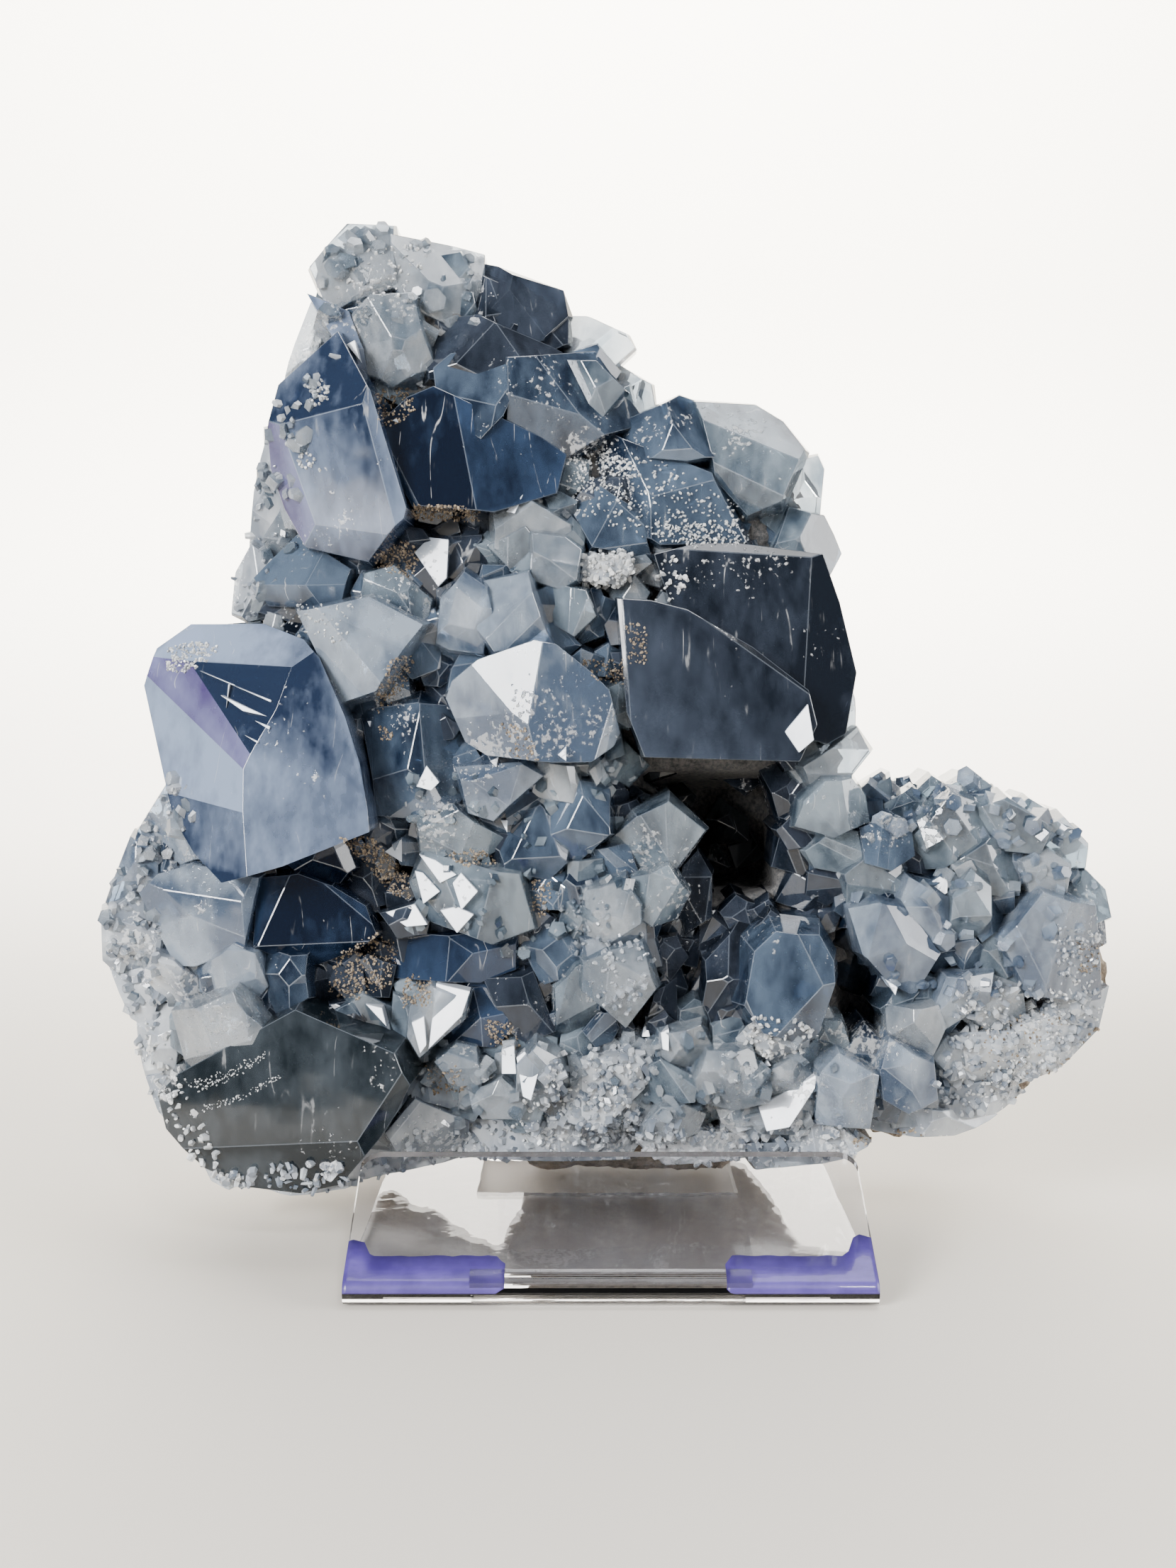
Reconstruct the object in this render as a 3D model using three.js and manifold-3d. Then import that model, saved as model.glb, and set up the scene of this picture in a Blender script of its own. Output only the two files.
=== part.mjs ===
// Celestite cluster on a clear acrylic easel stand. Millimetres, +Z up, +Y away from the face.
// Origin: on the table, under the plane (y = 0) that runs up through the middle of the crystals.

import * as THREE from "three";
import { ConvexGeometry } from "three/addons/geometries/ConvexGeometry.js";
import { mergeVertices } from "three/addons/utils/BufferGeometryUtils.js";
import Module from "manifold-3d";

const wasm = await Module();
wasm.setup();

// Stand: one sheet, bent at the front fold, with a tongue cut from the base and bent up.
const sheetThickness = 3;
const standWidth = 114;
const foldFrontY = -51.5;
const baseBackY = 66;
const lipAngle = THREE.MathUtils.degToRad(27);
const lipLength = 39;
const windowWidth = 65;
const windowFrontY = 16;
const tongueWidth = 59;
const tongueFootY = 55;
const tongueLength = 38;
const tongueLean = THREE.MathUtils.degToRad(14);
const restReach = 10;
const frontRollWidth = 60;
const frontRollRadius = 2.6;
const frontRollY = -48.7;
const frontRollZ = 4.8;

// Specimen: crystals in front of the bond plane, rock behind it.
const bondY = 14;
const touchGap = 0.3;
const crustFrontY = -2;
const crustBevel = 4;
const shardRoot = 24;
const crownScale = 0.7;
const crownPull = 0.6;
const overshoot = 1.5;
const chamferReach = 0.38;
const largeReach = 14;
const smallReach = 8;

// Every face-on place (x, z) is given on the plane y = 0. A corner in front of that plane or
// behind it lies on the line from there to the eye point.
const eye = { x: -4.85, y: -418, z: 138 };

function corner(x, y, z) {
  const reach = (y - eye.y) / -eye.y;
  return new THREE.Vector3(eye.x + (x - eye.x) * reach, y, eye.z + (z - eye.z) * reach);
}

function toSolid(geometry) {
  const bare = geometry.index ? geometry.toNonIndexed() : geometry.clone();
  bare.deleteAttribute("normal");
  bare.deleteAttribute("uv");
  const welded = mergeVertices(bare, 1e-4);
  return new wasm.Manifold(new wasm.Mesh({
    numProp: 3,
    vertProperties: new Float32Array(welded.attributes.position.array),
    triVerts: new Uint32Array(welded.index.array),
  }));
}

function toGeometry(solid) {
  const mesh = solid.getMesh();
  const geometry = new THREE.BufferGeometry();
  geometry.setAttribute("position", new THREE.BufferAttribute(new Float32Array(mesh.vertProperties), 3));
  geometry.setIndex(new THREE.BufferAttribute(new Uint32Array(mesh.triVerts), 1));
  geometry.computeVertexNormals();
  return geometry;
}

function join(solids) {
  return solids.reduce((whole, next) => whole.add(next));
}

function boxSolid(x0, x1, y0, y1, z0, z1) {
  const box = new THREE.BoxGeometry(x1 - x0, y1 - y0, z1 - z0);
  box.translate((x0 + x1) / 2, (y0 + y1) / 2, (z0 + z1) / 2);
  return toSolid(box);
}

function pairs(list) {
  const out = [];
  for (let i = 0; i < list.length; i += 2) {
    out.push([list[i], list[i + 1]]);
  }
  return out;
}

// A repeatable number from 0 to 1 for each whole number.
function chance(index) {
  const wave = Math.sin(index * 12.9898) * 43758.5453;
  return wave - Math.floor(wave);
}

// The slopes [a, b] of the plane y = tip.y + a (x - tip.x) + b (z - tip.z) that fits the other
// front corners best, drawn a little towards a slope of its own where they leave it free.
function faceSlopes(tip, others, index) {
  const freedom = 25;
  const own = [0.5 * (chance(index) - 0.5), 0.5 * (chance(index + 0.5) - 0.5)];
  let xx = freedom;
  let xz = 0;
  let zz = freedom;
  let xy = freedom * own[0];
  let zy = freedom * own[1];
  for (const other of others) {
    const x = other.x - tip.x;
    const y = other.y - tip.y;
    const z = other.z - tip.z;
    xx += x * x;
    xz += x * z;
    zz += z * z;
    xy += x * y;
    zy += z * y;
  }
  const size = xx * zz - xz * xz;
  return [(xy * zz - zy * xz) / size, (zy * xx - xy * xz) / size];
}

let grownSoFar = 0;

// One crystal. rim: the outline of its shoulder (x, z pairs) at rimY. front: the corners that its
// main front face runs through (x, y, z), the tip first. Its sides run straight back from the
// shoulder and draw in towards that face, and the larger crystals have one or two chamfers there.
function shard(rim, rimY, front, { root = shardRoot, crownSize = crownScale, plain = false } = {}) {
  grownSoFar += 1;
  const seed = grownSoFar * 7;
  const shoulder = pairs(rim).map(([x, z]) => corner(x, rimY, z));
  const corners = [];
  for (let i = 0; i < front.length; i += 3) {
    corners.push(corner(front[i], front[i + 1], front[i + 2]));
  }
  const tip = corners[0];
  const middle = shoulder.reduce((sum, point) => sum.add(point), new THREE.Vector3()).divideScalar(shoulder.length);
  const crown = corners.reduce((sum, point) => sum.add(point), new THREE.Vector3()).divideScalar(corners.length);
  const focus = middle.clone().lerp(crown, crownPull);
  const height = Math.max(rimY - tip.y, 2);
  const points = [];
  for (const point of shoulder) {
    const ahead = focus.clone().lerp(point, 1 - (1 - crownSize) * overshoot);
    points.push(point.clone().setY(rimY + root), ahead.setY(rimY - height * overshoot), point);
  }
  const [slopeX, slopeZ] = faceSlopes(tip, corners.slice(1), seed);
  const faceY = (x, z) => tip.y + slopeX * (x - tip.x) + slopeZ * (z - tip.z);
  let solid = toSolid(new ConvexGeometry(points));
  const cut = (x, y, z, a, b) => {
    const length = Math.hypot(a, 1, b);
    solid = solid.trimByPlane([-a / length, 1 / length, -b / length], (y - a * x - b * z) / length);
  };
  cut(tip.x, tip.y, tip.z, slopeX, slopeZ);
  const reach = shoulder.reduce((sum, point) => sum + Math.hypot(point.x - middle.x, point.z - middle.z), 0)
    / shoulder.length;
  const chamfers = plain || reach < smallReach ? 0 : reach > largeReach ? 2 : 1;
  const firstTurn = chance(seed + 1) * Math.PI * 2;
  for (let i = 0; i < chamfers; i += 1) {
    const turn = firstTurn + (i + 0.4 * chance(seed + 2 + i)) * Math.PI * 2 / chamfers;
    const steep = 0.6 + 0.9 * chance(seed + 3 + i);
    const x = crown.x + Math.cos(turn) * reach * chamferReach;
    const z = crown.z + Math.sin(turn) * reach * chamferReach;
    cut(x, faceY(x, z), z, slopeX + Math.cos(turn) * steep, slopeZ + Math.sin(turn) * steep);
  }
  return solid;
}

// ---- crystals, from the peak down ----

const peak = [
  shard([-69, 221, -68.5, 227, -65, 233, -60, 236.5, -56, 237, -50, 236, -47, 231, -48, 222, -64, 216.5], 4,
    [-61, -4, 229, -54, -6, 226, -60, -3, 221]),
  shard([-50, 234, -44, 232, -36, 231, -32.5, 233.5, -30, 230, -30, 219, -36, 213, -44, 216, -50, 222], 5,
    [-41, -3, 227, -45, -5, 221, -36, -2, 219]),
  shard([-59, 216, -55, 220.5, -45, 221, -42, 214, -42, 209, -40, 204, -42, 200.5, -50, 199.5, -56, 203], 0,
    [-54, -10, 215, -45, -10, 215, -44, -9, 205, -53, -9, 205]),
  shard([-30, 228, -20, 224.5, -12, 221.5, -10, 216, -14, 209, -24, 206, -38, 204, -42, 210, -38, 216], 7,
    [-30, 1, 219.5, -16, 0, 219.5, -14, 1, 212, -34, 1, 208]),
  shard([-10, 216.5, -5, 216, 0, 214, 4, 212, 5.5, 209, 3, 205, -2, 202, -8, 206, -13, 209.5], 8,
    [-6, 3, 213, -3, 2, 206, 1, 4, 210]),
  shard([-2, 204, 3, 204.5, 10, 200.5, 10.5, 196, 6, 192, -1, 196], 9,
    [3, 4, 200, 7, 5, 197]),
  shard([-69, 220.5, -64, 219, -60, 217, -56, 208, -55.5, 202, -61, 206, -65, 212], 0,
    [-62, -6, 213, -58, -6, 206]),
];

const upperFace = [
  shard([-39, 204, -30, 207, -21, 208.5, -13, 207, -4, 207, -1.5, 198, 7, 192, 0, 186, -10, 183, -30, 187,
    -39, 193], 0,
  [-23, -12, 204, -8, -9, 203, -21, -14, 191, -5, -9, 191]),
  shard([-52, 191, -46, 196.5, -40, 199, -30, 193, -16, 188, -10, 184, -12, 175, -26, 170, -36, 173,
    -45, 171.5, -46.5, 176, -50, 181], -2,
  [-33, -15, 187, -42, -10, 191, -29, -17, 176, -18, -14, 181]),
  shard([-76, 200, -72, 203, -66, 208, -62, 212, -57, 203, -53.5, 198, -52.5, 188, -50, 181, -45.5, 171,
    -46, 168.5, -55, 159, -62, 160.5, -70, 163, -75, 172, -78, 181, -78.5, 190], -5,
  [-66, -18, 196, -59, -20, 191, -56, -23, 176, -63, -24, 171, -70, -16, 183, -60, -18, 164]),
  shard([10, 194, 16, 197.5, 20, 196, 22, 190, 25, 183, 18, 182, 8, 183, 0, 186, 4, 192], -1,
    [12, -9, 192, 18, -11, 190, 22, -10, 184, 10, -9, 185]),
  shard([20, 196, 28, 195, 34, 195, 40, 191.5, 44, 188, 45.5, 185, 43, 178, 40, 172, 32, 170, 24, 178], 1,
    [30, -9, 188, 38, -9, 187, 36, -11, 177, 28, -9, 182]),
  shard([-12, 182, -6, 188, 2, 188, 10, 184, 18, 182, 24, 180, 32, 171, 32, 164, 26, 162, 12, 162, 0, 168,
    -9, 174], -3,
  [0, -10, 182, 14, -12, 176, 22, -12, 169, 4, -11, 172]),
  shard([-9, 173, -2, 177, 8, 171, 12, 165, 10, 160, 2, 160, -5, 162], -4,
    [0, -12, 170, 6, -11, 165]),
  shard([43, 183, 48.5, 184, 50, 181, 49, 176, 49, 169, 44, 169, 41, 173], 5,
    [46, -1, 179, 46, -1, 173]),
  shard([42, 172, 50, 170, 52.5, 166, 54, 162, 53, 157, 50, 155, 36, 159, 35, 165], 2,
    [44, -7, 167, 49, -5, 165, 40, -6, 163]),
];

const leftWall = [
  shard([-69, 219, -65, 214, -68, 206, -76, 199, -74, 206, -71, 211], 6,
    [-69, 1, 210, -72, 2, 205]),
  shard([-79, 190, -77, 184, -74, 168, -80, 158, -84, 162, -82.5, 176, -81, 183], 6,
    [-78, 0, 178, -79, 0, 168]),
  shard([-88, 148, -87, 157, -83, 164, -77, 160, -79, 148, -84, 146], 6,
    [-82, -1, 155]),
  shard([-82, 156, -76, 163, -72, 166, -66, 162, -60, 158, -62, 148, -70, 147, -79, 150], -5,
    [-73, -13, 158, -66, -14, 153, -74, -12, 152]),
  shard([-57, 157, -50, 159, -46, 157, -41, 151, -42, 145, -50, 147, -58, 150], -7,
    [-50, -15, 154, -46, -15, 150]),
  shard([-72, 148, -55, 151.5, -44, 149, -42, 145, -48, 136, -53, 129, -57, 126, -62, 127, -66, 137,
    -74, 142], -9,
  [-60, -22, 146, -50, -21, 145, -57, -25, 133, -66, -18, 141]),
];

const bigLeft = [
  shard([-98, 144.5, -80, 144.5, -70, 141, -66, 137, -60, 124, -56.5, 114, -54.5, 104, -54, 99, -64, 95,
    -73, 91.5, -87, 87.5, -94, 93.5, -99.5, 101, -108, 130.5, -105.5, 139], -4,
  [-98, -20, 136, -74, -26, 134.5, -66, -20, 136, -84, -33, 113, -85.5, -32, 100.5, -62, -23, 114,
    -104, -13, 133, -72, -26, 100]),
];

const centreUpper = [
  shard([-54, 160, -46, 170, -36, 172.5, -30, 168, -29, 160, -35, 153, -41, 151, -48, 156], -1,
    [-42, -8, 165.5, -37.5, -9, 165, -38, -10, 156, -45.5, -7, 162]),
  shard([-27, 172, -20, 175.5, -13, 173, -8, 168, -8, 162, -14, 161, -20, 159, -27, 162], -5,
    [-20, -13, 171, -14, -12, 168, -23, -11, 164]),
  shard([-18, 166.5, -10, 165.5, -6, 162.5, -7, 155, -11, 153, -18, 155.5], -10,
    [-16, -18, 164, -8.5, -17, 161.5, -9, -17, 155.5, -16, -18, 157]),
  shard([-6, 161, 0, 163, 5, 161.5, 6, 157, 2, 154, -3, 153.5, -7, 155], -8,
    [-2, -15, 159, 3, -14, 158]),
  shard([-39, 151, -33.5, 157.5, -28, 154, -26, 148, -29, 138, -37, 139.5, -40, 141], -12,
    [-33, -21, 153, -31, -21, 143, -37, -18, 148]),
  shard([-29, 154.5, -19, 157, -15.5, 152, -13.5, 150, -13.5, 141, -18, 139, -27, 138, -31, 144], -14,
    [-25, -23, 151.5, -18, -24, 149, -23, -25, 141.5, -16.5, -22, 143.5]),
  shard([-14, 155, -8, 154, -5, 153.5, -2.5, 147, -4, 143, -8, 141.5, -13, 145], -9,
    [-8.5, -17, 151, -7, -17, 145]),
  shard([-17, 141.5, -12, 140.5, -4, 134, 0, 130, 2.5, 120, 1, 117, -4, 113.5, -13, 113.5, -28, 115,
    -33, 118, -37.5, 128, -36, 132, -30, 137], -12,
  [-30, -25, 134.5, -17, -25, 140, -15, -30, 134, -19.5, -33, 121.5, -3, -20, 121, -31, -25, 124]),
];

const bigRight = [
  shard([2, 151, 10, 150.5, 18, 148.5, 33, 140, 46, 130, 48, 122, 44, 113.5, 8, 114.5, 6, 120, 4, 125,
    3.5, 139], -14,
  [30, -22, 134, 10, -18, 143, 43, -20, 124, 42, -19, 114.5, 12, -19, 116], { crownSize: 0.97, plain: true }),
  shard([10, 161, 20, 163.5, 30, 163.5, 49, 161, 53, 150, 57, 134, 54.5, 120, 50, 117.5, 40, 120,
    16, 142], -3,
  [22, -15, 159, 34, -18, 153, 46, -14, 158, 50.5, -14, 136, 42, -21, 132, 28, -20, 143, 49, -13, 122]),
  shard([55.5, 134, 57.5, 128, 58, 119, 53, 118], 3,
    [56, -3, 126]),
];

const cavityRight = [
  shard([44, 112, 50, 117, 58, 120.5, 61.5, 115.5, 58, 109, 54, 106, 47, 107], -7,
    [50, -14, 113, 57, -13, 115.5, 54, -13, 110]),
  shard([45, 104, 50, 109.5, 57, 109.5, 60, 105, 61, 99, 53, 95, 44, 98], -11,
    [50, -19, 106, 56, -18, 104.5, 51, -18, 100]),
  shard([36, 111, 42, 113, 46, 111, 45, 102, 40, 99, 37, 104], 1,
    [41, -5, 108, 42, -5, 103]),
  shard([39, 97, 43, 101, 49, 98, 49, 93, 42, 92], -3,
    [44, -9, 97]),
  shard([46, 92, 52, 98, 59, 97, 61, 90, 54, 87, 49, 88], -8,
    [53, -14, 94, 56, -13, 91]),
  shard([40, 80, 43, 87, 50, 91, 55, 88, 56, 80, 50, 76], -1,
    [48, -7, 85, 52, -6, 81]),
];

const centreLower = [
  shard([-57, 124, -44, 128, -38, 126, -34, 116, -30, 112, -35, 103, -42, 99, -54, 101, -57, 110], -9,
    [-46, -18, 118, -40, -19, 110, -50, -17, 108]),
  shard([-36, 112, -30, 114.5, -20, 114, -15, 110, -19, 104, -27, 99, -33, 101, -36, 106], -13,
    [-27, -22, 111, -21, -22, 108, -28, -21, 103]),
  shard([-17, 114, -8, 112.5, -6, 107, -8, 103, -18, 105], -11,
    [-12, -18, 110, -9, -18, 106.5]),
  shard([-5, 111, -1, 114.5, 1, 111.5, -3, 107], -12,
    [-1.5, -18, 111.5]),
  shard([-7, 109, 0, 107, 1, 96, -8, 89, -13, 92, -15, 100], -11,
    [-4, -18, 104, -3, -19, 97, -9, -17, 97]),
  shard([-46, 103, -36, 104, -27, 99, -24, 94, -32, 89, -44, 91, -47, 96], -11,
    [-38, -19, 99, -31, -19, 95, -42, -17, 95]),
  shard([-27, 98, -16, 104, -8, 98, -9, 89, -14, 85, -25, 87], -9,
    [-18, -16, 98, -14, -16, 94, -18, -16, 90]),
  shard([0, 107, 4, 108.5, 10, 105, 10, 100, 4, 96, 0, 97], 1,
    [4, -5, 103]),
  shard([0, 94, 6, 101, 14, 105, 20, 101, 22.5, 97, 21, 91, 16, 88, 6, 88], -9,
    [8, -18, 99, 16, -19, 99.5, 18, -18, 92, 7, -17, 92]),
  shard([17, 89, 21, 92, 24.5, 87, 24.5, 76, 18, 72, 15, 80], -1,
    [21, -8, 86, 21, -8, 79]),
  shard([5, 86, 8, 89, 14, 90, 18, 88, 19, 82, 16, 76, 10, 74, 6, 77], -12,
    [10, -22, 86, 15, -22, 86, 15.5, -21, 80, 9, -20, 79]),
  shard([-7, 77, -6, 83, 0, 86, 4, 86.5, 8, 80, 8, 75, 0, 70, -5, 72], -14,
    [-2, -23, 83, 4, -24, 81, 1, -24, 75]),
  shard([-6, 71, 0, 73.5, 9, 76, 9, 70, 2, 66, -5, 66], -13,
    [3, -20, 72.5, 0, -18, 69]),
  shard([-10, 90, -1, 91, 1, 85, -6, 81, -10, 84], -9,
    [-5, -15, 87]),
  shard([-46, 84, -45, 90, -43, 92, -30, 88, -21, 87, -17, 83, -16, 78, -18, 74, -27, 70, -36, 71,
    -43, 76], -11,
  [-41, -19, 86, -33, -21, 84, -22, -20, 81, -29, -22, 75, -39, -20, 78]),
  shard([-54, 77, -46, 79.5, -42, 76, -43, 72, -50, 71], -11,
    [-47, -16, 76.5]),
  shard([-52, 72, -40, 71, -30, 72, -21, 74, -20, 69, -22, 64, -30, 61, -44, 60.5, -51, 62], -7,
    [-46, -15, 68.5, -28, -17, 69, -25, -16, 65, -44, -14, 64.5]),
  shard([-42, 60.5, -33, 58, -34, 52, -40, 47, -45, 42.5, -48, 48, -47, 55], -13,
    [-41, -20, 58, -36, -21, 55, -43, -20, 47.5]),
  shard([-34, 59, -28, 59, -22, 50, -27, 45, -36, 44, -41, 46], -11,
    [-30, -17, 54, -31, -17, 49]),
  shard([-30, 62, -18, 63, -13, 57, -12, 49, -20, 46, -25, 50], -9,
    [-21, -16, 58, -17, -15, 52]),
  shard([-21, 70, -17, 75, -8, 74, -4, 69, -9, 62, -16, 60], -7,
    [-13, -14, 70, -11, -14, 65]),
  shard([-13, 60, -8, 66, -2, 68, 2, 60, -1, 53, -6, 48, -13, 49], -9,
    [-6, -16, 61, -7, -15, 54]),
  shard([-6, 66, 0, 70, 8, 71.5, 10, 68, 11.5, 60, 9, 55, 4, 50.5, 0, 52, -6, 59], -14,
    [1, -24, 66, 7, -24, 63, 4, -23, 55, 0, -22, 60]),
  shard([8, 52, 11, 59, 16, 61, 16.5, 50, 12, 45, 7, 46], -7,
    [12, -13, 55]),
];

const lowerLeft = [
  shard([-110.5, 82, -106, 86.5, -98, 89, -87, 88, -81, 86.5, -83, 75, -84, 70, -92, 68, -97, 65, -102, 65,
    -106, 74], -7,
  [-104, -14, 83, -92, -22, 85, -86, -21, 81, -88, -20, 73, -100, -18, 75]),
  shard([-82, 86.5, -72, 88, -64, 85, -56, 80, -53, 73, -58, 69.5, -68, 65.5, -76, 67, -83, 70.5], -5,
    [-72, -16, 85, -63, -18, 77, -70, -16, 69, -79, -15, 76, -58, -12, 76]),
  shard([-76, 89, -71, 94, -62, 95, -59, 88, -63, 84, -72, 85], -7,
    [-67, -13, 91]),
  shard([-63, 86, -58, 90, -52, 87, -50, 80, -57, 77], -4,
    [-57, -10, 85]),
  shard([-100, 61, -92, 68.5, -88, 71, -82, 69, -80, 66, -80, 60, -83, 57, -98, 58], -12,
    [-91, -20, 67, -84, -21, 66, -84, -20, 61, -93, -18, 62]),
  shard([-81, 68.5, -70.5, 68, -70.5, 57, -78, 52, -82, 56], -12,
    [-78, -19, 66.5, -73, -19, 66, -73, -19, 59, -79, -18, 58]),
  shard([-105, 44, -103, 53, -97, 59, -92, 61.5, -87, 61, -82, 56, -78.5, 49, -81, 45, -90, 40, -101, 39], -14,
    [-93, -26, 55, -86, -26, 52, -88, -25, 45, -98, -22, 47]),
  shard([-107, 69, -102, 67, -97, 62, -97, 56, -106, 56, -110, 62], -7,
    [-103, -14, 63]),
  shard([-72, 57.5, -60, 52.5, -48, 48, -44.5, 40, -48, 33, -52, 27, -57, 21, -62, 15, -72, 12.5, -84, 14,
    -94, 19, -103, 29, -105, 37, -100, 42, -80, 48, -77, 54], -8,
  [-72, -25, 50, -59, -25, 44, -54, -21, 34, -62, -22, 23, -80, -24, 21, -94, -16, 29, -90, -21, 38]),
  shard([-47, 41, -38, 40, -31, 36, -33, 29, -40, 29, -47, 33], -5,
    [-40, -10, 35]),
];

const lowerMiddle = [
  shard([-41, 43, -36, 47, -31, 46, -29, 38, -31, 34, -38, 37], -12,
    [-35, -20, 43, -34, -19, 38.5]),
  shard([-27, 44, -22, 46, -20, 38, -24, 36, -28, 38], -12,
    [-24, -18, 41.5]),
  shard([-22, 42, -17, 47.5, -12, 44, -10.5, 40, -12, 33, -18, 30.5, -22, 34], -14,
    [-18, -24, 43, -14, -23, 40, -17, -23, 34.5]),
  shard([-31, 36, -25, 39, -19, 33, -21, 28, -30, 28, -33, 32], -12,
    [-26, -20, 34]),
  shard([-54, 25, -46, 34, -38, 33, -33, 28, -35, 20, -50, 18], -4,
    [-46, -11, 29, -39, -11, 27]),
  shard([-14, 43, -4, 44, 0, 43, 8, 45, 9, 36, 5, 29, -2, 25, -12, 28], -8,
    [-6, -16, 38, 3, -17, 39, 0, -16, 31]),
  shard([7, 39, 12, 43.5, 18, 42.5, 22, 38, 21, 32, 12, 31, 7, 34], -11,
    [13, -18, 40, 17, -18, 37]),
  shard([8, 27, 12, 32.5, 18, 33, 23, 29, 21, 24.5, 14, 22, 8, 23], -9,
    [14, -19, 30, 18.5, -18, 28, 13, -16, 26]),
  shard([12, 49, 16, 51.5, 22, 51, 24.5, 46, 23.5, 36, 18, 35, 12, 43], -12,
    [15, -20, 49, 21, -20, 47, 20.5, -19, 39, 14, -18, 45]),
  shard([-32, 28, -14, 29, 2, 28, 8, 24, 2, 17, -20, 17.2, -34, 18], -1,
    [-22, -11, 24.5, -6, -11, 24.5]),
  shard([6, 24, 22, 27, 33, 24, 37, 18, 30, 15.8, 14, 15.8], 0,
    [20, -11, 24.5]),
  shard([30, 22, 44, 24, 58, 22, 58, 18, 48, 16.3, 36, 14.5], 1,
    [46, -10, 24.5]),
];

const rightGroup = [
  shard([32, 71, 38, 76.5, 50, 75, 54, 68, 54.5, 62, 52, 55, 50, 48, 45, 45, 34, 48, 29, 56], -12,
    [38, -24, 71, 46, -25, 70, 50, -24, 62, 46, -24, 52, 37, -25, 56, 34.5, -23, 63]),
  shard([23, 66, 28, 71, 32, 75, 35, 70, 33, 56, 26, 48, 22, 56], -8,
    [29, -17, 65, 28, -17, 57]),
  shard([34, 74, 38, 78.5, 42, 76, 40, 71, 34, 70], -8,
    [38, -15, 75]),
  shard([18, 76, 28, 78.5, 36, 77, 32, 68, 24, 60, 18, 60, 15, 68], 3,
    [25, -3, 73, 22, -3, 66]),
  shard([23, 45, 28, 47.5, 34, 46, 38, 40, 38, 32, 30, 30, 22, 32, 20, 38], -14,
    [27, -23, 43, 34, -22, 40, 28, -22, 35]),
  shard([30, 47, 36, 52, 42, 52, 48, 48.5, 47, 44, 40, 41, 35, 44], -13,
    [37, -21, 48, 43, -20, 47]),
  shard([37, 40, 42, 44, 50, 48, 54, 44, 51, 37, 44, 31, 36, 31], -11,
    [44, -19, 42, 46, -18, 37, 39, -17, 34]),
  shard([36, 30, 42, 32, 50, 38, 51, 33, 46, 24, 40, 22.5, 36, 24], -9,
    [43, -15, 30.5, 46, -14, 29]),
  shard([49, 41, 54, 45.5, 60, 43, 64, 40, 65, 32, 62, 26, 56, 24, 50, 27], -12,
    [55, -23, 41, 60, -22, 36, 56, -22, 29, 52, -20, 34]),
  shard([42, 28, 51, 30, 60, 27, 62, 22, 54, 18, 44, 20], -3,
    [52, -12, 25.5]),
  shard([25, 31, 36, 31, 36, 22, 28, 23], -2,
    [32, -9, 28]),
  shard([53, 76, 60, 78, 64, 66, 60, 58, 54, 60, 52, 68], 4,
    [58, -2, 70]),
];

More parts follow.
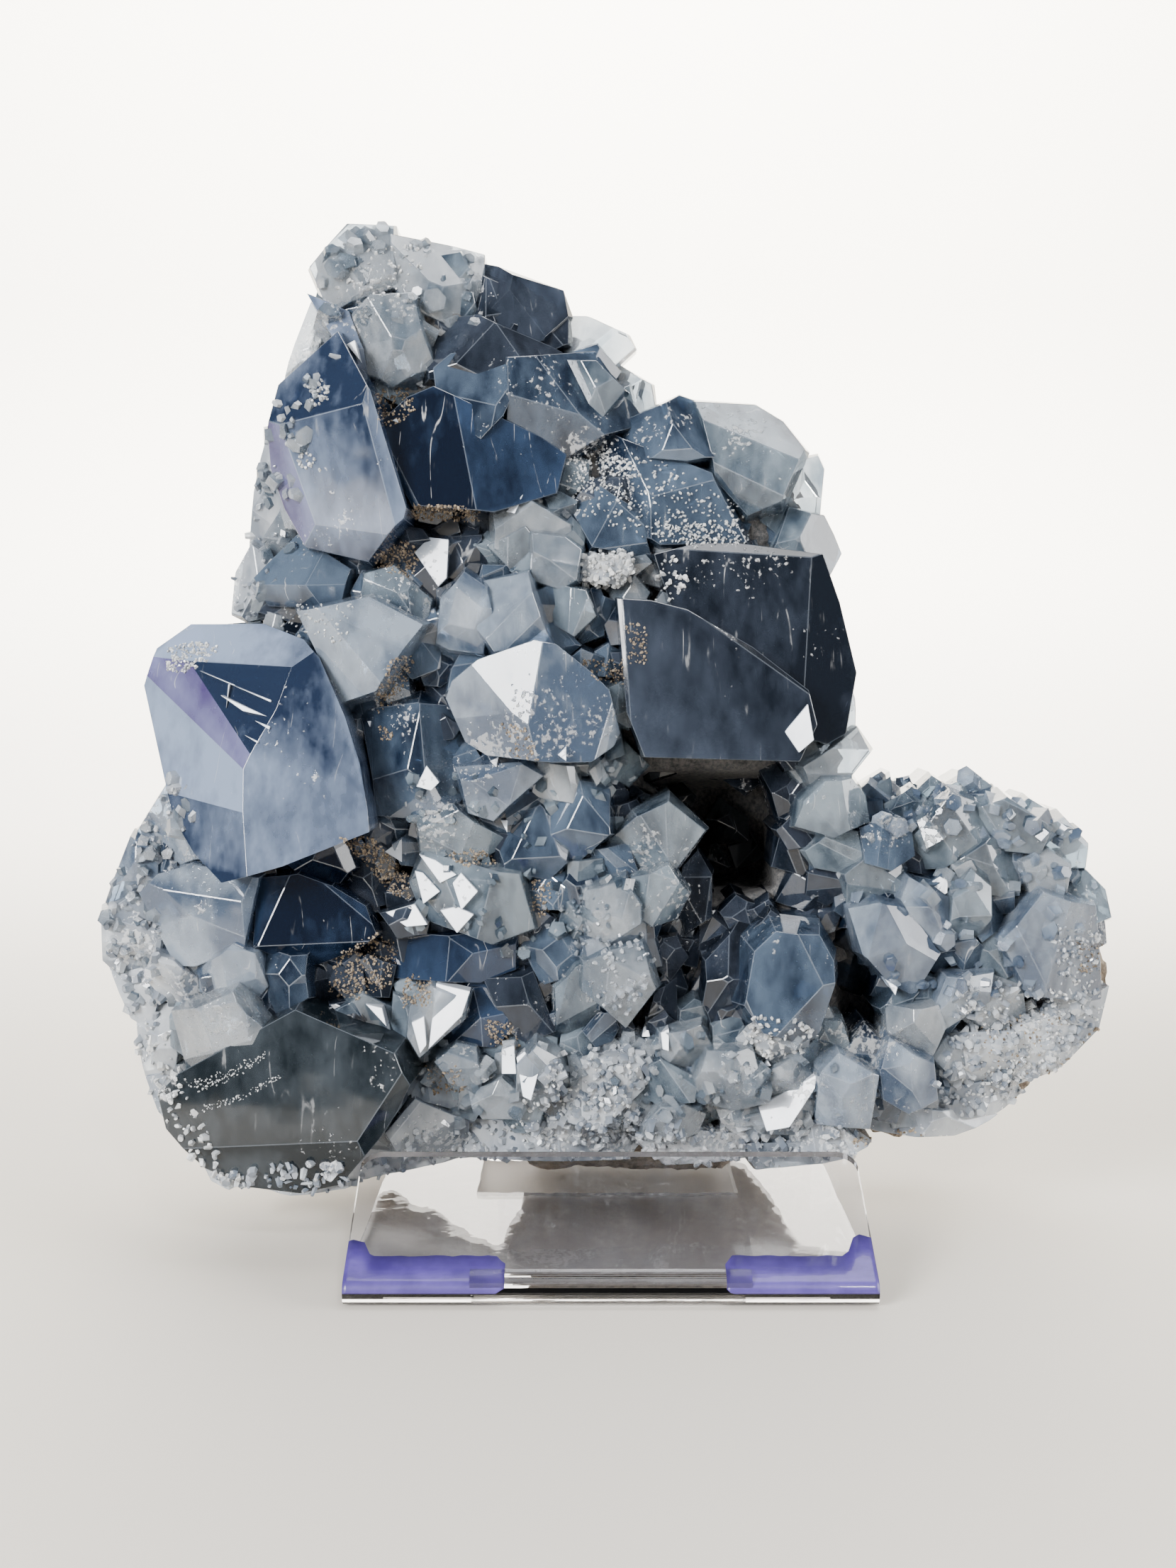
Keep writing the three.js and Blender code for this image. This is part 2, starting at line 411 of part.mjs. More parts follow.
const rightLobe = [
  shard([57, 78, 63, 81, 70, 79, 75, 72, 78, 68, 72, 58, 66, 61, 59, 68], -9,
    [62, -18, 77.5, 68, -20, 73, 72, -19, 65, 64, -17, 69]),
  shard([68, 81, 70, 86.5, 76, 85.5, 82, 83, 86, 78, 82, 71, 74, 70], -9,
    [74, -18, 83, 80, -18, 78, 76, -17, 74]),
  shard([80, 82, 85, 88.5, 90, 84, 90, 76, 86, 70, 80, 71], -9,
    [85, -17, 83, 86, -16, 75]),
  shard([90, 72, 92, 82, 100, 84.5, 108, 83, 114, 79, 119, 72, 122, 64, 117, 57, 106, 55, 98, 58], -2,
    [98, -16, 78, 108, -15, 76, 112, -12, 66, 103, -17, 65, 95, -14, 71]),
  shard([76, 55, 79, 63, 86, 65, 91, 63, 90, 56, 84, 50, 79, 49], -9,
    [82, -17, 60, 86, -16, 57]),
  shard([66, 55, 70, 57, 78, 56, 80, 50, 77, 43, 70, 42, 66, 46], -11,
    [71, -19, 53, 75, -19, 48]),
  shard([63, 41, 66, 48.5, 71, 47, 77, 42, 78, 33, 71, 29.5, 65, 33], -12,
    [68, -22, 43, 73.5, -22, 38, 70, -21, 33.5]),
  shard([62, 27, 70, 32, 80, 31, 89, 30, 92, 27.5, 82, 24, 72, 24, 64, 25], 0,
    [74, -9, 28.5, 84, -7, 28]),
  shard([59, 104, 61, 107, 66, 110, 67, 104, 64, 100, 60, 100], 3,
    [64, -3, 106]),
  shard([64, 103, 71, 107.5, 75, 104, 72, 98, 64, 98], 0,
    [70, -6, 104]),
  shard([70, 105, 75.5, 110, 80, 107, 78, 100, 72, 100], 2,
    [76, -4, 107]),
  shard([79, 107, 84, 110, 88, 109, 92, 106, 90, 101, 80, 101], 3,
    [86, -3, 107]),
  shard([94, 102, 98, 105, 103, 102.5, 106, 100, 102, 96, 95, 97], 4,
    [99, -3, 101]),
  shard([70, 94, 74, 101, 79, 107, 86, 105.5, 91, 101, 88, 94, 79, 88, 71, 88], -6,
    [79, -16, 102, 85, -15, 99, 77, -15, 94]),
  shard([85, 103, 92, 106, 98, 103.5, 104, 98, 101, 91, 92, 92, 87, 96], -4,
    [94, -13, 101, 97, -12, 96]),
  shard([100, 99, 106, 101, 110, 99, 112.5, 94, 112, 88, 105, 88, 100, 94], 0,
    [106, -8, 96, 108, -6, 92]),
  shard([106, 87, 112, 88, 117, 83, 118.5, 76, 114, 74, 107, 80], 2,
    [112, -5, 83]),
  shard([58, 98, 66, 101, 71, 98, 72, 91, 66, 87, 59, 89], -7,
    [65, -15, 97, 66, -14, 92]),
  shard([54, 87, 60, 92, 68, 91, 71, 84, 66, 78, 57, 79], -7,
    [61, -14, 87, 65, -13, 84]),
  shard([80, 90, 89, 96, 97, 93, 99, 86, 93, 81, 84, 83], -7,
    [89, -14, 90, 93, -13, 87]),
  shard([96, 90, 103, 93, 109, 89, 108, 82, 99, 82], -5,
    [102, -12, 88]),
  shard([86, 60, 91, 63, 98, 60, 99, 52, 92, 48, 85, 52], -5,
    [92, -12, 57]),
  shard([76, 47, 84, 50, 96, 50, 98, 42, 90, 34, 78, 36], -2,
    [84, -10, 45, 90, -9, 42]),
  shard([74, 36, 88, 38, 97, 36, 99, 32.5, 92, 29, 78, 28], 1,
    [86, -6, 33]),
  shard([94, 52, 108, 56, 118, 58, 116, 49, 106, 40, 96, 36], 2,
    [104, -8, 50, 100, -7, 44]),
];

const leftRim = [
  shard([-101, 112, -96, 106, -97, 96, -94, 90, -104, 88, -111, 96, -107, 104], 1,
    [-102, -7, 102, -102, -8, 95]),
  shard([-118, 88, -112, 96, -105, 93, -104, 84, -110, 79, -118.5, 80], 3,
    [-111, -5, 89, -113, -4, 84]),
  shard([-119.5, 78, -110, 83, -104, 74, -105, 64, -112, 59, -119.5, 66], 3,
    [-112, -5, 75, -111, -4, 68]),
  shard([-119, 66, -108, 68, -105, 58, -108, 49, -113, 52, -116, 59], 5,
    [-110, -2, 60]),
  shard([-112, 53, -102, 56, -101, 44, -105, 34, -110, 38, -111.5, 46], 3,
    [-106, -5, 46]),
  shard([-110, 39, -101, 42, -95, 28, -93, 18, -101, 22, -107, 30], 5,
    [-101, -2, 30]),
  shard([-97.5, 18, -90, 21, -85, 14, -90.5, 10.5, -95, 12.5], 3,
    [-91, -2, 15]),
  shard([-90, 17, -76, 18, -58, 20, -54, 14, -64, 10.5, -76, 9, -84, 10.5], 4,
    [-72, -1, 13]),
  shard([-62, 24, -50, 27, -34, 24, -31, 18, -44, 15.5, -54, 13, -62, 11.5], 3,
    [-48, -3, 19]),
];

// Dull crystals on the floor of the deep pocket, and on its left wall.
const pocketRoot = { root: 5 };
const inPocket = [
  shard([22, 98, 26, 104, 32, 100, 32, 95, 23, 94], 29, [28, 20, 99], pocketRoot),
  shard([13, 106, 17, 108, 20, 105, 18, 100, 13, 101], 29, [17, 22, 104], pocketRoot),
  shard([28, 94, 33, 96, 36, 91, 30, 88], 30, [32, 23, 92], pocketRoot),
  shard([20, 92, 25, 94, 28, 89, 22, 86], 29, [24, 21, 90], pocketRoot),
];

// ---- the crust that all crystals grow from ----

const crustOutline = pairs([
  -62, 228, -54, 230, -36, 226, -18, 215, -4, 206, 4, 196, 18, 190, 38, 184, 44, 172, 47, 156, 51, 134,
  50, 122, 54, 106, 70, 100, 86, 102, 102, 96, 110, 84, 115, 70, 114, 56, 104, 44, 92, 35, 76, 30, 60, 26,
  40, 22, 0, 22, -34, 24, -54, 20, -74, 16, -90, 20, -102, 34, -106, 50, -112, 66, -113, 80, -106, 92,
  -98, 104, -101, 128, -98, 138, -82, 142, -80, 152, -76, 168, -72, 192, -66, 208, -64, 220,
]);

function extrudeAlongY(outline, frontY, backY, bevel) {
  const shape = new THREE.Shape(outline.map(([x, z]) => new THREE.Vector2(x, z)));
  const slab = new THREE.ExtrudeGeometry(shape, {
    depth: backY - frontY - bevel,
    bevelEnabled: bevel > 0,
    bevelSize: bevel,
    bevelThickness: bevel,
    bevelOffset: -bevel,
    bevelSegments: 1,
  });
  slab.rotateX(Math.PI / 2);
  slab.translate(0, backY, 0);
  const places = slab.attributes.position;
  for (let i = 0; i < places.count; i += 1) {
    const moved = corner(places.getX(i), Math.min(places.getY(i), backY), places.getZ(i));
    places.setXYZ(i, moved.x, moved.y, moved.z);
  }
  return toSolid(slab);
}

// A block or a hollow between two outlines at two depths.
function between(nearOutline, nearY, farOutline, farY) {
  const points = pairs(nearOutline).map(([x, z]) => corner(x, nearY, z));
  points.push(...pairs(farOutline).map(([x, z]) => corner(x, farY, z)));
  return toSolid(new ConvexGeometry(points));
}

// The deep pocket right of the middle, whose crust dips into the rock, and the narrow one
// beside the right lobe.
const pocketFloorY = 33;
const pocketWall = 4;
const deepPocket = between([3, 112, 44, 112, 42, 80, 24, 78, 10, 96], -30,
  [12, 108, 37, 108, 36, 86, 24, 84, 14, 94], pocketFloorY);
const sidePocket = between([53, 66, 64, 66, 65, 48, 54, 46], -30, [56, 62, 62, 62, 62, 52, 56, 50], 9);

function pocketCup(grow) {
  const near = pocketWall + 2 + grow;
  const far = pocketWall + grow;
  return between(
    [2 - near, 112 + near, 44 + near, 112 + near, 42 + near, 80 - near, 8 - near, 80 - near], bondY - 1,
    [12 - far, 108 + far, 37 + far, 108 + far, 36 + far, 84 - far, 14 - far, 84 - far], pocketFloorY + far,
  );
}

const crust = extrudeAlongY(crustOutline, crustFrontY, bondY, crustBevel);
const frontSide = boxSolid(-200, 200, -200, bondY, -50, 300);
const grown = join([
  ...peak, ...upperFace, ...leftWall, ...bigLeft, ...centreUpper, ...bigRight, ...cavityRight,
  ...centreLower, ...lowerLeft, ...lowerMiddle, ...rightGroup, ...rightLobe, ...leftRim,
]);

// ---- rock behind the bond plane: overlapping lumps ----

function lump(rim, back) {
  const points = [];
  pairs(rim).forEach(([x, z]) => points.push(corner(x, bondY + touchGap, z)));
  for (let i = 0; i < back.length; i += 3) {
    points.push(corner(back[i], back[i + 1], back[i + 2]));
  }
  return toSolid(new ConvexGeometry(points));
}

const rockLumps = [
  lump([-66, 222, -60, 232, -48, 233, -32, 229, -14, 217, -12, 203, -30, 198, -56, 200],
    [-56, 24, 222, -36, 26, 218, -30, 31, 206, -52, 30, 206]),
  lump([-74, 199, -56, 206, -10, 211, 6, 202, 8, 186, -30, 170, -78, 176],
    [-62, 33, 194, -30, 38, 196, -4, 32, 196, -50, 40, 182, -24, 42, 184]),
  lump([-80, 182, -50, 190, -30, 184, -30, 146, -60, 138, -84, 148],
    [-70, 35, 170, -50, 43, 165, -70, 38, 152, -46, 44, 150]),
  lump([8, 192, 32, 191, 42, 184, 48, 170, 50, 150, 30, 146, -14, 166, -8, 190],
    [16, 34, 184, 36, 31, 176, 38, 34, 160, 8, 42, 165, 4, 38, 182]),
  lump([-44, 172, 0, 178, 46, 164, 54, 134, 52, 116, 20, 96, -44, 112],
    [-20, 46, 158, 20, 44, 150, 42, 35, 138, 30, 46, 118, -22, 52, 128]),
  lump([-100, 138, -84, 142, -56, 152, -28, 142, -26, 106, -60, 92, -97, 98, -103, 120],
    [-88, 32, 132, -66, 45, 130, -58, 51, 108, -88, 38, 106]),
  lump([-114, 86, -104, 103, -60, 114, -18, 104, -16, 66, -60, 56, -108, 60, -116, 76],
    [-98, 36, 92, -70, 51, 94, -38, 56, 86, -100, 38, 74, -66, 54, 68]),
  lump([-108, 58, -60, 78, -16, 72, -16, 26, -50, 18, -74, 13, -94, 20, -106, 38],
    [-94, 38, 50, -70, 52, 54, -38, 58, 48, -52, 50, 26, -84, 40, 28]),
  lump([-34, 104, 10, 110, 58, 102, 66, 70, 60, 34, 30, 19, -24, 19, -36, 50],
    [-10, 56, 84, 28, 54, 84, 50, 44, 64, 24, 66, 38, -16, 66, 38, -12, 59, 10, 22, 59, 10]),
  lump([-6, 98, 0, 126, 44, 126, 52, 106, 50, 78, 0, 78],
    [3, 49, 113, 18, 53, 118, 38, 45, 121, 47, 44, 106, 43, 48, 91, 26, 55, 83, 6, 54, 90]),
  lump([40, 104, 66, 103, 88, 104, 106, 94, 117, 76, 120, 60, 117, 50, 110, 42, 98, 33, 84, 26, 66, 22, 44, 30],
    [64, 41, 86, 90, 33, 84, 102, 30, 64, 80, 42, 58, 64, 44, 42, 86, 32, 42]),
];

// ---- stand ----

// The bent sheet seen from the side, as (y, z) points; grow widens it by a running gap.
function sheetProfile(grow) {
  const outer = sheetThickness + grow;
  const foldY = foldFrontY + sheetThickness;
  const along = [Math.cos(lipAngle), Math.sin(lipAngle)];
  const out = [-Math.sin(lipAngle), Math.cos(lipAngle)];
  const tip = lipLength + grow;
  const profile = new THREE.Shape();
  profile.moveTo(baseBackY + grow, -grow);
  profile.lineTo(baseBackY + grow, outer);
  profile.lineTo(foldY + grow * 2, outer);
  profile.lineTo(foldY + along[0] * tip - out[0] * grow, sheetThickness + along[1] * tip - out[1] * grow);
  profile.lineTo(foldY + along[0] * tip + out[0] * outer, sheetThickness + along[1] * tip + out[1] * outer);
  profile.absarc(foldY, sheetThickness, outer, Math.PI / 2 + lipAngle, Math.PI * 1.5, false);
  profile.lineTo(baseBackY + grow, -grow);
  return profile;
}

function tongueProfile(grow) {
  const up = [Math.sin(tongueLean), Math.cos(tongueLean)];
  const back = [Math.cos(tongueLean), -Math.sin(tongueLean)];
  const profile = new THREE.Shape();
  const foot = [tongueFootY, 0];
  const place = (rise, depth) => [foot[0] + up[0] * rise + back[0] * depth, foot[1] + up[1] * rise + back[1] * depth];
  profile.moveTo(foot[0] - grow, -grow);
  profile.lineTo(...place(tongueLength + grow, -grow));
  profile.lineTo(...place(tongueLength + grow, sheetThickness + grow));
  profile.lineTo(...place(sheetThickness, sheetThickness + grow));
  profile.lineTo(foot[0] + sheetThickness * 2 + grow, -grow);
  profile.closePath();
  return profile;
}

// All that lies behind the front of the tongue: the rock leans on it and doesn't reach past it.
function behindTongueProfile(grow) {
  const lean = Math.tan(tongueLean);
  const top = tongueLength + restReach;
  const profile = new THREE.Shape();
  profile.moveTo(tongueFootY - grow, -grow);
  profile.lineTo(tongueFootY - grow + top * lean, top);
  profile.lineTo(tongueFootY + restReach * 2, top);
  profile.lineTo(tongueFootY + restReach * 2, -grow);
  profile.closePath();
  return profile;
}

function extrudeAlongX(profile, width, segments = 6) {
  const solid = new THREE.ExtrudeGeometry(profile, { depth: width, bevelEnabled: false, curveSegments: segments });
  // The drawing's x runs along +Y here, and its y runs up.
  solid.applyMatrix4(new THREE.Matrix4().makeBasis(
    new THREE.Vector3(0, 1, 0), new THREE.Vector3(0, 0, 1), new THREE.Vector3(1, 0, 0)));
  solid.translate(-width / 2, 0, 0);
  return toSolid(solid);
}

function standSolid(grow) {
  const tilted = sheetThickness + grow;
  let sheet = extrudeAlongX(sheetProfile(grow), standWidth + grow * 2, 8);
  if (grow === 0) {
    sheet = sheet.subtract(boxSolid(-windowWidth / 2, windowWidth / 2, windowFrontY, tongueFootY, -tilted, 2 * tilted));
  }
  return sheet.add(extrudeAlongX(tongueProfile(grow), tongueWidth + grow * 2));
}

function frontRoll() {
  const round = new THREE.Shape();
  round.absarc(frontRollY, frontRollZ, frontRollRadius, 0, Math.PI * 2, false);
  return extrudeAlongX(round, frontRollWidth, 16);
}

// The outer shell alone: gaps sealed between crystals are filled, and loose flakes are dropped.
function outerShell(solid) {
  const shells = solid.decompose();
  return shells.reduce((best, shell) => (shell.volume() > best.volume() ? shell : best));
}

// ---- assembly ----

const standKeepOut = standSolid(touchGap);
const hollowed = join([crust, grown]).intersect(frontSide).add(pocketCup(0))
  .subtract(deepPocket).subtract(sidePocket).add(join(inPocket));
const crystals = outerShell(hollowed.subtract(standKeepOut));
const behindTongue = extrudeAlongX(behindTongueProfile(touchGap * 1.2), tongueWidth + restReach * 4);
const rock = outerShell(join(rockLumps).subtract(pocketCup(touchGap * 1.5)).subtract(standKeepOut)
  .subtract(behindTongue));
const stand = standSolid(0).add(frontRoll());

function piece(name, solid, look) {
  const mesh = new THREE.Mesh(toGeometry(solid), new THREE.MeshStandardMaterial(look));
  mesh.name = name;
  return mesh;
}

const cluster = new THREE.Group();
cluster.add(
  piece("celestite_crystals", crystals, { color: 0x8d9fb3, roughness: 0.12, metalness: 0 }),
  piece("rock_matrix", rock, { color: 0x8a7a66, roughness: 0.9, metalness: 0 }),
  piece("acrylic_stand", stand, {
    color: 0xe6e9f2, roughness: 0.04, metalness: 0, transparent: true, opacity: 0.35,
  }),
);

export default cluster;
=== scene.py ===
# Celestite cluster on a clear acrylic easel: the looks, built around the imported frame.
# Sizes are in millimetres until a piece is finished, and +Y runs away from the crystals' face.
import math
import random

import bmesh
import bpy
from mathutils import Matrix, Vector, noise
from mathutils.bvhtree import BVHTree


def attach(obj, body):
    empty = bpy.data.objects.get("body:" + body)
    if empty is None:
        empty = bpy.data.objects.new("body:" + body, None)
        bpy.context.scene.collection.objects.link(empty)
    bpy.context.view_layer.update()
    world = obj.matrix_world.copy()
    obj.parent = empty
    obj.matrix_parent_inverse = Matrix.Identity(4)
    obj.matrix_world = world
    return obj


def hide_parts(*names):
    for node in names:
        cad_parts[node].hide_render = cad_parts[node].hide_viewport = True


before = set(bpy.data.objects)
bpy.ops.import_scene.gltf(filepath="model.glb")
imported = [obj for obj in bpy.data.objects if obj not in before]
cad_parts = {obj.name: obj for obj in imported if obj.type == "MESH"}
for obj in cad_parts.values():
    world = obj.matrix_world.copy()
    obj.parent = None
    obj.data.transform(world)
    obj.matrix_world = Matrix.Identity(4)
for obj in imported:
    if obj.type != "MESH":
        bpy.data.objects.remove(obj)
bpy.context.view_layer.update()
mm = 0.001
print("frame loaded")

# The camera, the lamps and the light all round.
view = {"eye": Vector((-4.85, -418, 138)), "pitch": 4.16, "lens": 40.69, "nearest": 0.01}
eye = view["eye"]

camera = bpy.data.objects.new("camera", bpy.data.cameras.new("camera"))
camera.data.lens = view["lens"]
camera.data.clip_start = view["nearest"]
camera.location = eye * mm
camera.rotation_euler = (math.radians(90 - view["pitch"]), 0, 0)
bpy.context.scene.collection.objects.link(camera)
bpy.context.scene.camera = camera

lamps = {  # place and aim in metres, size in metres, power in watts, spread in degrees
    "window": {"at": (-1.3, -1.5, 0.85), "aim": (0, 0, 0.12), "size": (0.9, 0.9),
               "watts": 112, "spread": 180},
    "sparkle": {"at": (0.35, -1.4, 1.1), "aim": (0, 0, 0.12), "size": (0.12, 0.12),
                "watts": 12, "spread": 180},
    "fill": {"at": (1.9, -0.35, 0.6), "aim": (0, 0, 0.1), "size": (1.2, 1.2),
             "watts": 50, "spread": 180},
    "overhead": {"at": (0.1, 0.2, 1.5), "aim": (0, 0, 0.1), "size": (1.2, 0.8),
                 "watts": 24, "spread": 180},
    "backdrop": {"at": (0, 0.35, 1.7), "aim": (0, 1.4, 0.55), "size": (1.8, 0.4),
                 "watts": 118, "spread": 100},
}


def aimedAt(place, target):
    return (Vector(target) - Vector(place)).to_track_quat("-Z", "Y").to_euler()


for name, lamp in lamps.items():
    light = bpy.data.lights.new(name, "AREA")
    light.shape = "RECTANGLE"
    light.size, light.size_y = lamp["size"]
    light.energy = lamp["watts"]
    light.spread = math.radians(lamp["spread"])
    holder = bpy.data.objects.new(name, light)
    holder.location = lamp["at"]
    holder.rotation_euler = aimedAt(lamp["at"], lamp["aim"])
    bpy.context.scene.collection.objects.link(holder)

allRound = {"tint": (0.80, 0.81, 0.84, 1), "strength": 0.28}
world = bpy.data.worlds.new("studio")
world.use_nodes = True
world.node_tree.nodes["Background"].inputs["Color"].default_value = allRound["tint"]
world.node_tree.nodes["Background"].inputs["Strength"].default_value = allRound["strength"]
bpy.context.scene.world = world


# The materials are wired with the helpers from here to the looks.
def addNode(tree, kind, **settings):
    node = tree.nodes.new("ShaderNode" + kind)
    for key, value in settings.items():
        setattr(node, key, value)
    return node


def feed(tree, socket, value):
    if isinstance(value, bpy.types.NodeSocket):
        tree.links.new(value, socket)
    else:
        socket.default_value = value


def setInputs(tree, node, **values):
    for label, value in values.items():
        feed(tree, node.inputs[label.replace("_", " ")], value)
    return node


def maths(tree, operation, first, second=0.0):
    node = addNode(tree, "Math", operation=operation)
    feed(tree, node.inputs[0], first)
    feed(tree, node.inputs[1], second)
    return node.outputs[0]


def ramp(tree, source, low, high):
    spread = addNode(tree, "MapRange", interpolation_type="SMOOTHSTEP")
    setInputs(tree, spread, Value=source, From_Min=low, From_Max=high)
    return spread.outputs["Result"]


def blendColours(tree, share, first, second):
    node = addNode(tree, "Mix", data_type="RGBA")
    feed(tree, node.inputs[0], share)
    feed(tree, node.inputs[6], first)
    feed(tree, node.inputs[7], second)
    return node.outputs[2]


def newGroup(name, inputs, outputs):
    tree = bpy.data.node_groups.new(name, "ShaderNodeTree")
    for label, value in inputs.items():
        socket = tree.interface.new_socket(label, in_out="INPUT", socket_type="NodeSocketFloat")
        socket.default_value = value
    for label in outputs:
        tree.interface.new_socket(label, in_out="OUTPUT", socket_type="NodeSocketFloat")
    return tree, addNode(tree, "TexCoord").outputs["Object"], tree.nodes.new("NodeGroupOutput")


def groupInput(tree, label):
    return tree.nodes.new("NodeGroupInput").outputs[label]


def objectNoise(tree, place, size, detail=3.0, stretch=(1, 1, 1), turn=(0, 0, 0), offset=None, rough=0.55):
    # size is the width of one blotch in millimetres
    mapping = addNode(tree, "Mapping")
    setInputs(tree, mapping, Vector=place, Scale=stretch, Rotation=[math.radians(a) for a in turn])
    grain = addNode(tree, "TexNoise", noise_dimensions="4D")
    setInputs(tree, grain, Vector=mapping.outputs[0], Scale=1000.0 / size, Detail=detail, Roughness=rough)
    if offset is not None:
        tree.links.new(offset, grain.inputs["W"])
    return grain.outputs["Fac"]


def markOf(tree, label):
    # a number that the mesh carries: tone and glow on its corners, edge, shade and violet on its faces.
    # Glow is painted light, shade is painted light and shade, violet is a painted reflection, and edge is
    # where a painted highlight goes
    return addNode(tree, "Attribute", attribute_name=label).outputs["Fac"]


clouds = {"ownShift": 37.0, "broad": 15, "small": 3.4, "broadShare": 0.6, "smallShare": 0.4,  # widths in mm
          "split": 6, "crackWidth": (0.008, 0.001), "crackBroad": (0.48, 0.6), "crackSmall": (0.5, 0.58),
          "wisp": 1.6, "wispCover": (0.64, 0.74), "wispSmall": (0.5, 0.66), "wispShare": 0.5}


def buildCloudGroup():
    # what lies inside a crystal: soft clouds (0 to 1, about 0.5), short flat cracks and fine wisps
    tree, place, out = newGroup("insideCrystal", {"Cracks": 0.5}, ["Cloud", "Line"])
    own = maths(tree, "MULTIPLY", markOf(tree, "tone"), clouds["ownShift"])
    broad = objectNoise(tree, place, clouds["broad"], 4, (1, 1, 0.6), (20, 35, 0), own)
    small = objectNoise(tree, place, clouds["small"], 3, (1, 1, 0.5), (0, 25, 40), own)
    cloud = maths(tree, "ADD", maths(tree, "MULTIPLY", broad, clouds["broadShare"]),
                  maths(tree, "MULTIPLY", small, clouds["smallShare"]))
    split = objectNoise(tree, place, clouds["split"], 1, (1, 1, 0.05), (40, 15, 70), own)
    offMiddle = maths(tree, "ABSOLUTE", maths(tree, "SUBTRACT", split, 0.5))
    crack = ramp(tree, offMiddle, *clouds["crackWidth"])
    where = maths(tree, "MULTIPLY", ramp(tree, broad, *clouds["crackBroad"]),
                  ramp(tree, small, *clouds["crackSmall"]))
    wisp = objectNoise(tree, place, clouds["wisp"], 2, (1, 1, 0.1), (35, 50, 20), own)
    wisps = maths(tree, "MULTIPLY", ramp(tree, wisp, *clouds["wispCover"]),
                  ramp(tree, small, *clouds["wispSmall"]))
    both = maths(tree, "ADD", maths(tree, "MULTIPLY", crack, where),
                 maths(tree, "MULTIPLY", wisps, clouds["wispShare"]))
    tree.links.new(cloud, out.inputs["Cloud"])
    tree.links.new(maths(tree, "MULTIPLY", both, groupInput(tree, "Cracks")), out.inputs["Line"])
    return tree


growthSteps = {"ownShift": 11.0, "step": 2.6, "wave": 12, "waveShare": 6.0}  # widths in mm


def buildScratchGroup():
    # fine growth steps and a slow wave, as a height
    tree, place, out = newGroup("growthLines", {"Amount": 1.0}, ["Height"])
    own = maths(tree, "MULTIPLY", markOf(tree, "tone"), growthSteps["ownShift"])
    steps = objectNoise(tree, place, growthSteps["step"], 1, (1, 1, 0.05), (0, 22, 0), own)
    waves = objectNoise(tree, place, growthSteps["wave"], 1, offset=own)
    total = maths(tree, "ADD", steps, maths(tree, "MULTIPLY", waves, growthSteps["waveShare"]))
    tree.links.new(maths(tree, "MULTIPLY", total, groupInput(tree, "Amount")), out.inputs["Height"])
    return tree


dust = {"patch": 22, "patchShare": 0.6, "grainShare": 0.4, "bare": 0.78, "coverShare": 0.5, "fade": 0.06}


def buildSpeckGroup():
    # sugary white specks where a broad patch and a fine grain meet
    tree, place, out = newGroup("sugarSpecks", {"Cover": 0.3, "Grain": 1.2}, ["Mask"])
    patch = objectNoise(tree, place, dust["patch"], 3)
    fine = addNode(tree, "TexNoise")
    size = maths(tree, "DIVIDE", 1000.0, groupInput(tree, "Grain"))
    setInputs(tree, fine, Vector=place, Scale=size, Detail=2.0)
    both = maths(tree, "ADD", maths(tree, "MULTIPLY", patch, dust["patchShare"]),
                 maths(tree, "MULTIPLY", fine.outputs["Fac"], dust["grainShare"]))
    cover = maths(tree, "MULTIPLY", groupInput(tree, "Cover"), dust["coverShare"])
    over = maths(tree, "SUBTRACT", both, maths(tree, "SUBTRACT", dust["bare"], cover))
    tree.links.new(ramp(tree, over, 0.0, dust["fade"]), out.inputs["Mask"])
    return tree


brokenStone = {"stain": 14, "grit": 1.3, "stainRange": (0.35, 0.65), "gritRange": (0.3, 0.7),
               "stainHeight": 3.0, "gritShare": 0.7, "rough": 0.85}


def buildGrainGroup():
    # broken stone: broad stains, grit, and a height
    tree, place, out = newGroup("stoneGrain", {"Size": 1.0}, ["Stain", "Grit", "Height"])
    sized = addNode(tree, "VectorMath", operation="SCALE")
    setInputs(tree, sized, Vector=place, Scale=maths(tree, "DIVIDE", 1.0, groupInput(tree, "Size")))
    stain = objectNoise(tree, sized.outputs[0], brokenStone["stain"], 5, rough=0.65)
    grit = objectNoise(tree, sized.outputs[0], brokenStone["grit"], 4, rough=0.7)
    tree.links.new(ramp(tree, stain, *brokenStone["stainRange"]), out.inputs["Stain"])
    tree.links.new(ramp(tree, grit, *brokenStone["gritRange"]), out.inputs["Grit"])
    height = maths(tree, "ADD", maths(tree, "MULTIPLY", stain, brokenStone["stainHeight"]), grit)
    tree.links.new(height, out.inputs["Height"])
    return tree


groups = {
    "inside": buildCloudGroup(),
    "lines": buildScratchGroup(),
    "specks": buildSpeckGroup(),
    "grain": buildGrainGroup(),
}


def useGroup(tree, name, **values):
    node = tree.nodes.new("ShaderNodeGroup")
    node.node_tree = groups[name]
    return setInputs(tree, node, **values)


def newMaterial(name):
    made = bpy.data.materials.new(name)
    made.use_nodes = True
    tree = made.node_tree
    return made, tree, tree.nodes["Principled BSDF"]


def raised(tree, height, distance=1.0):
    bump = addNode(tree, "Bump")
    setInputs(tree, bump, Height=height, Distance=distance, Strength=1.0)
    return bump.outputs["Normal"]
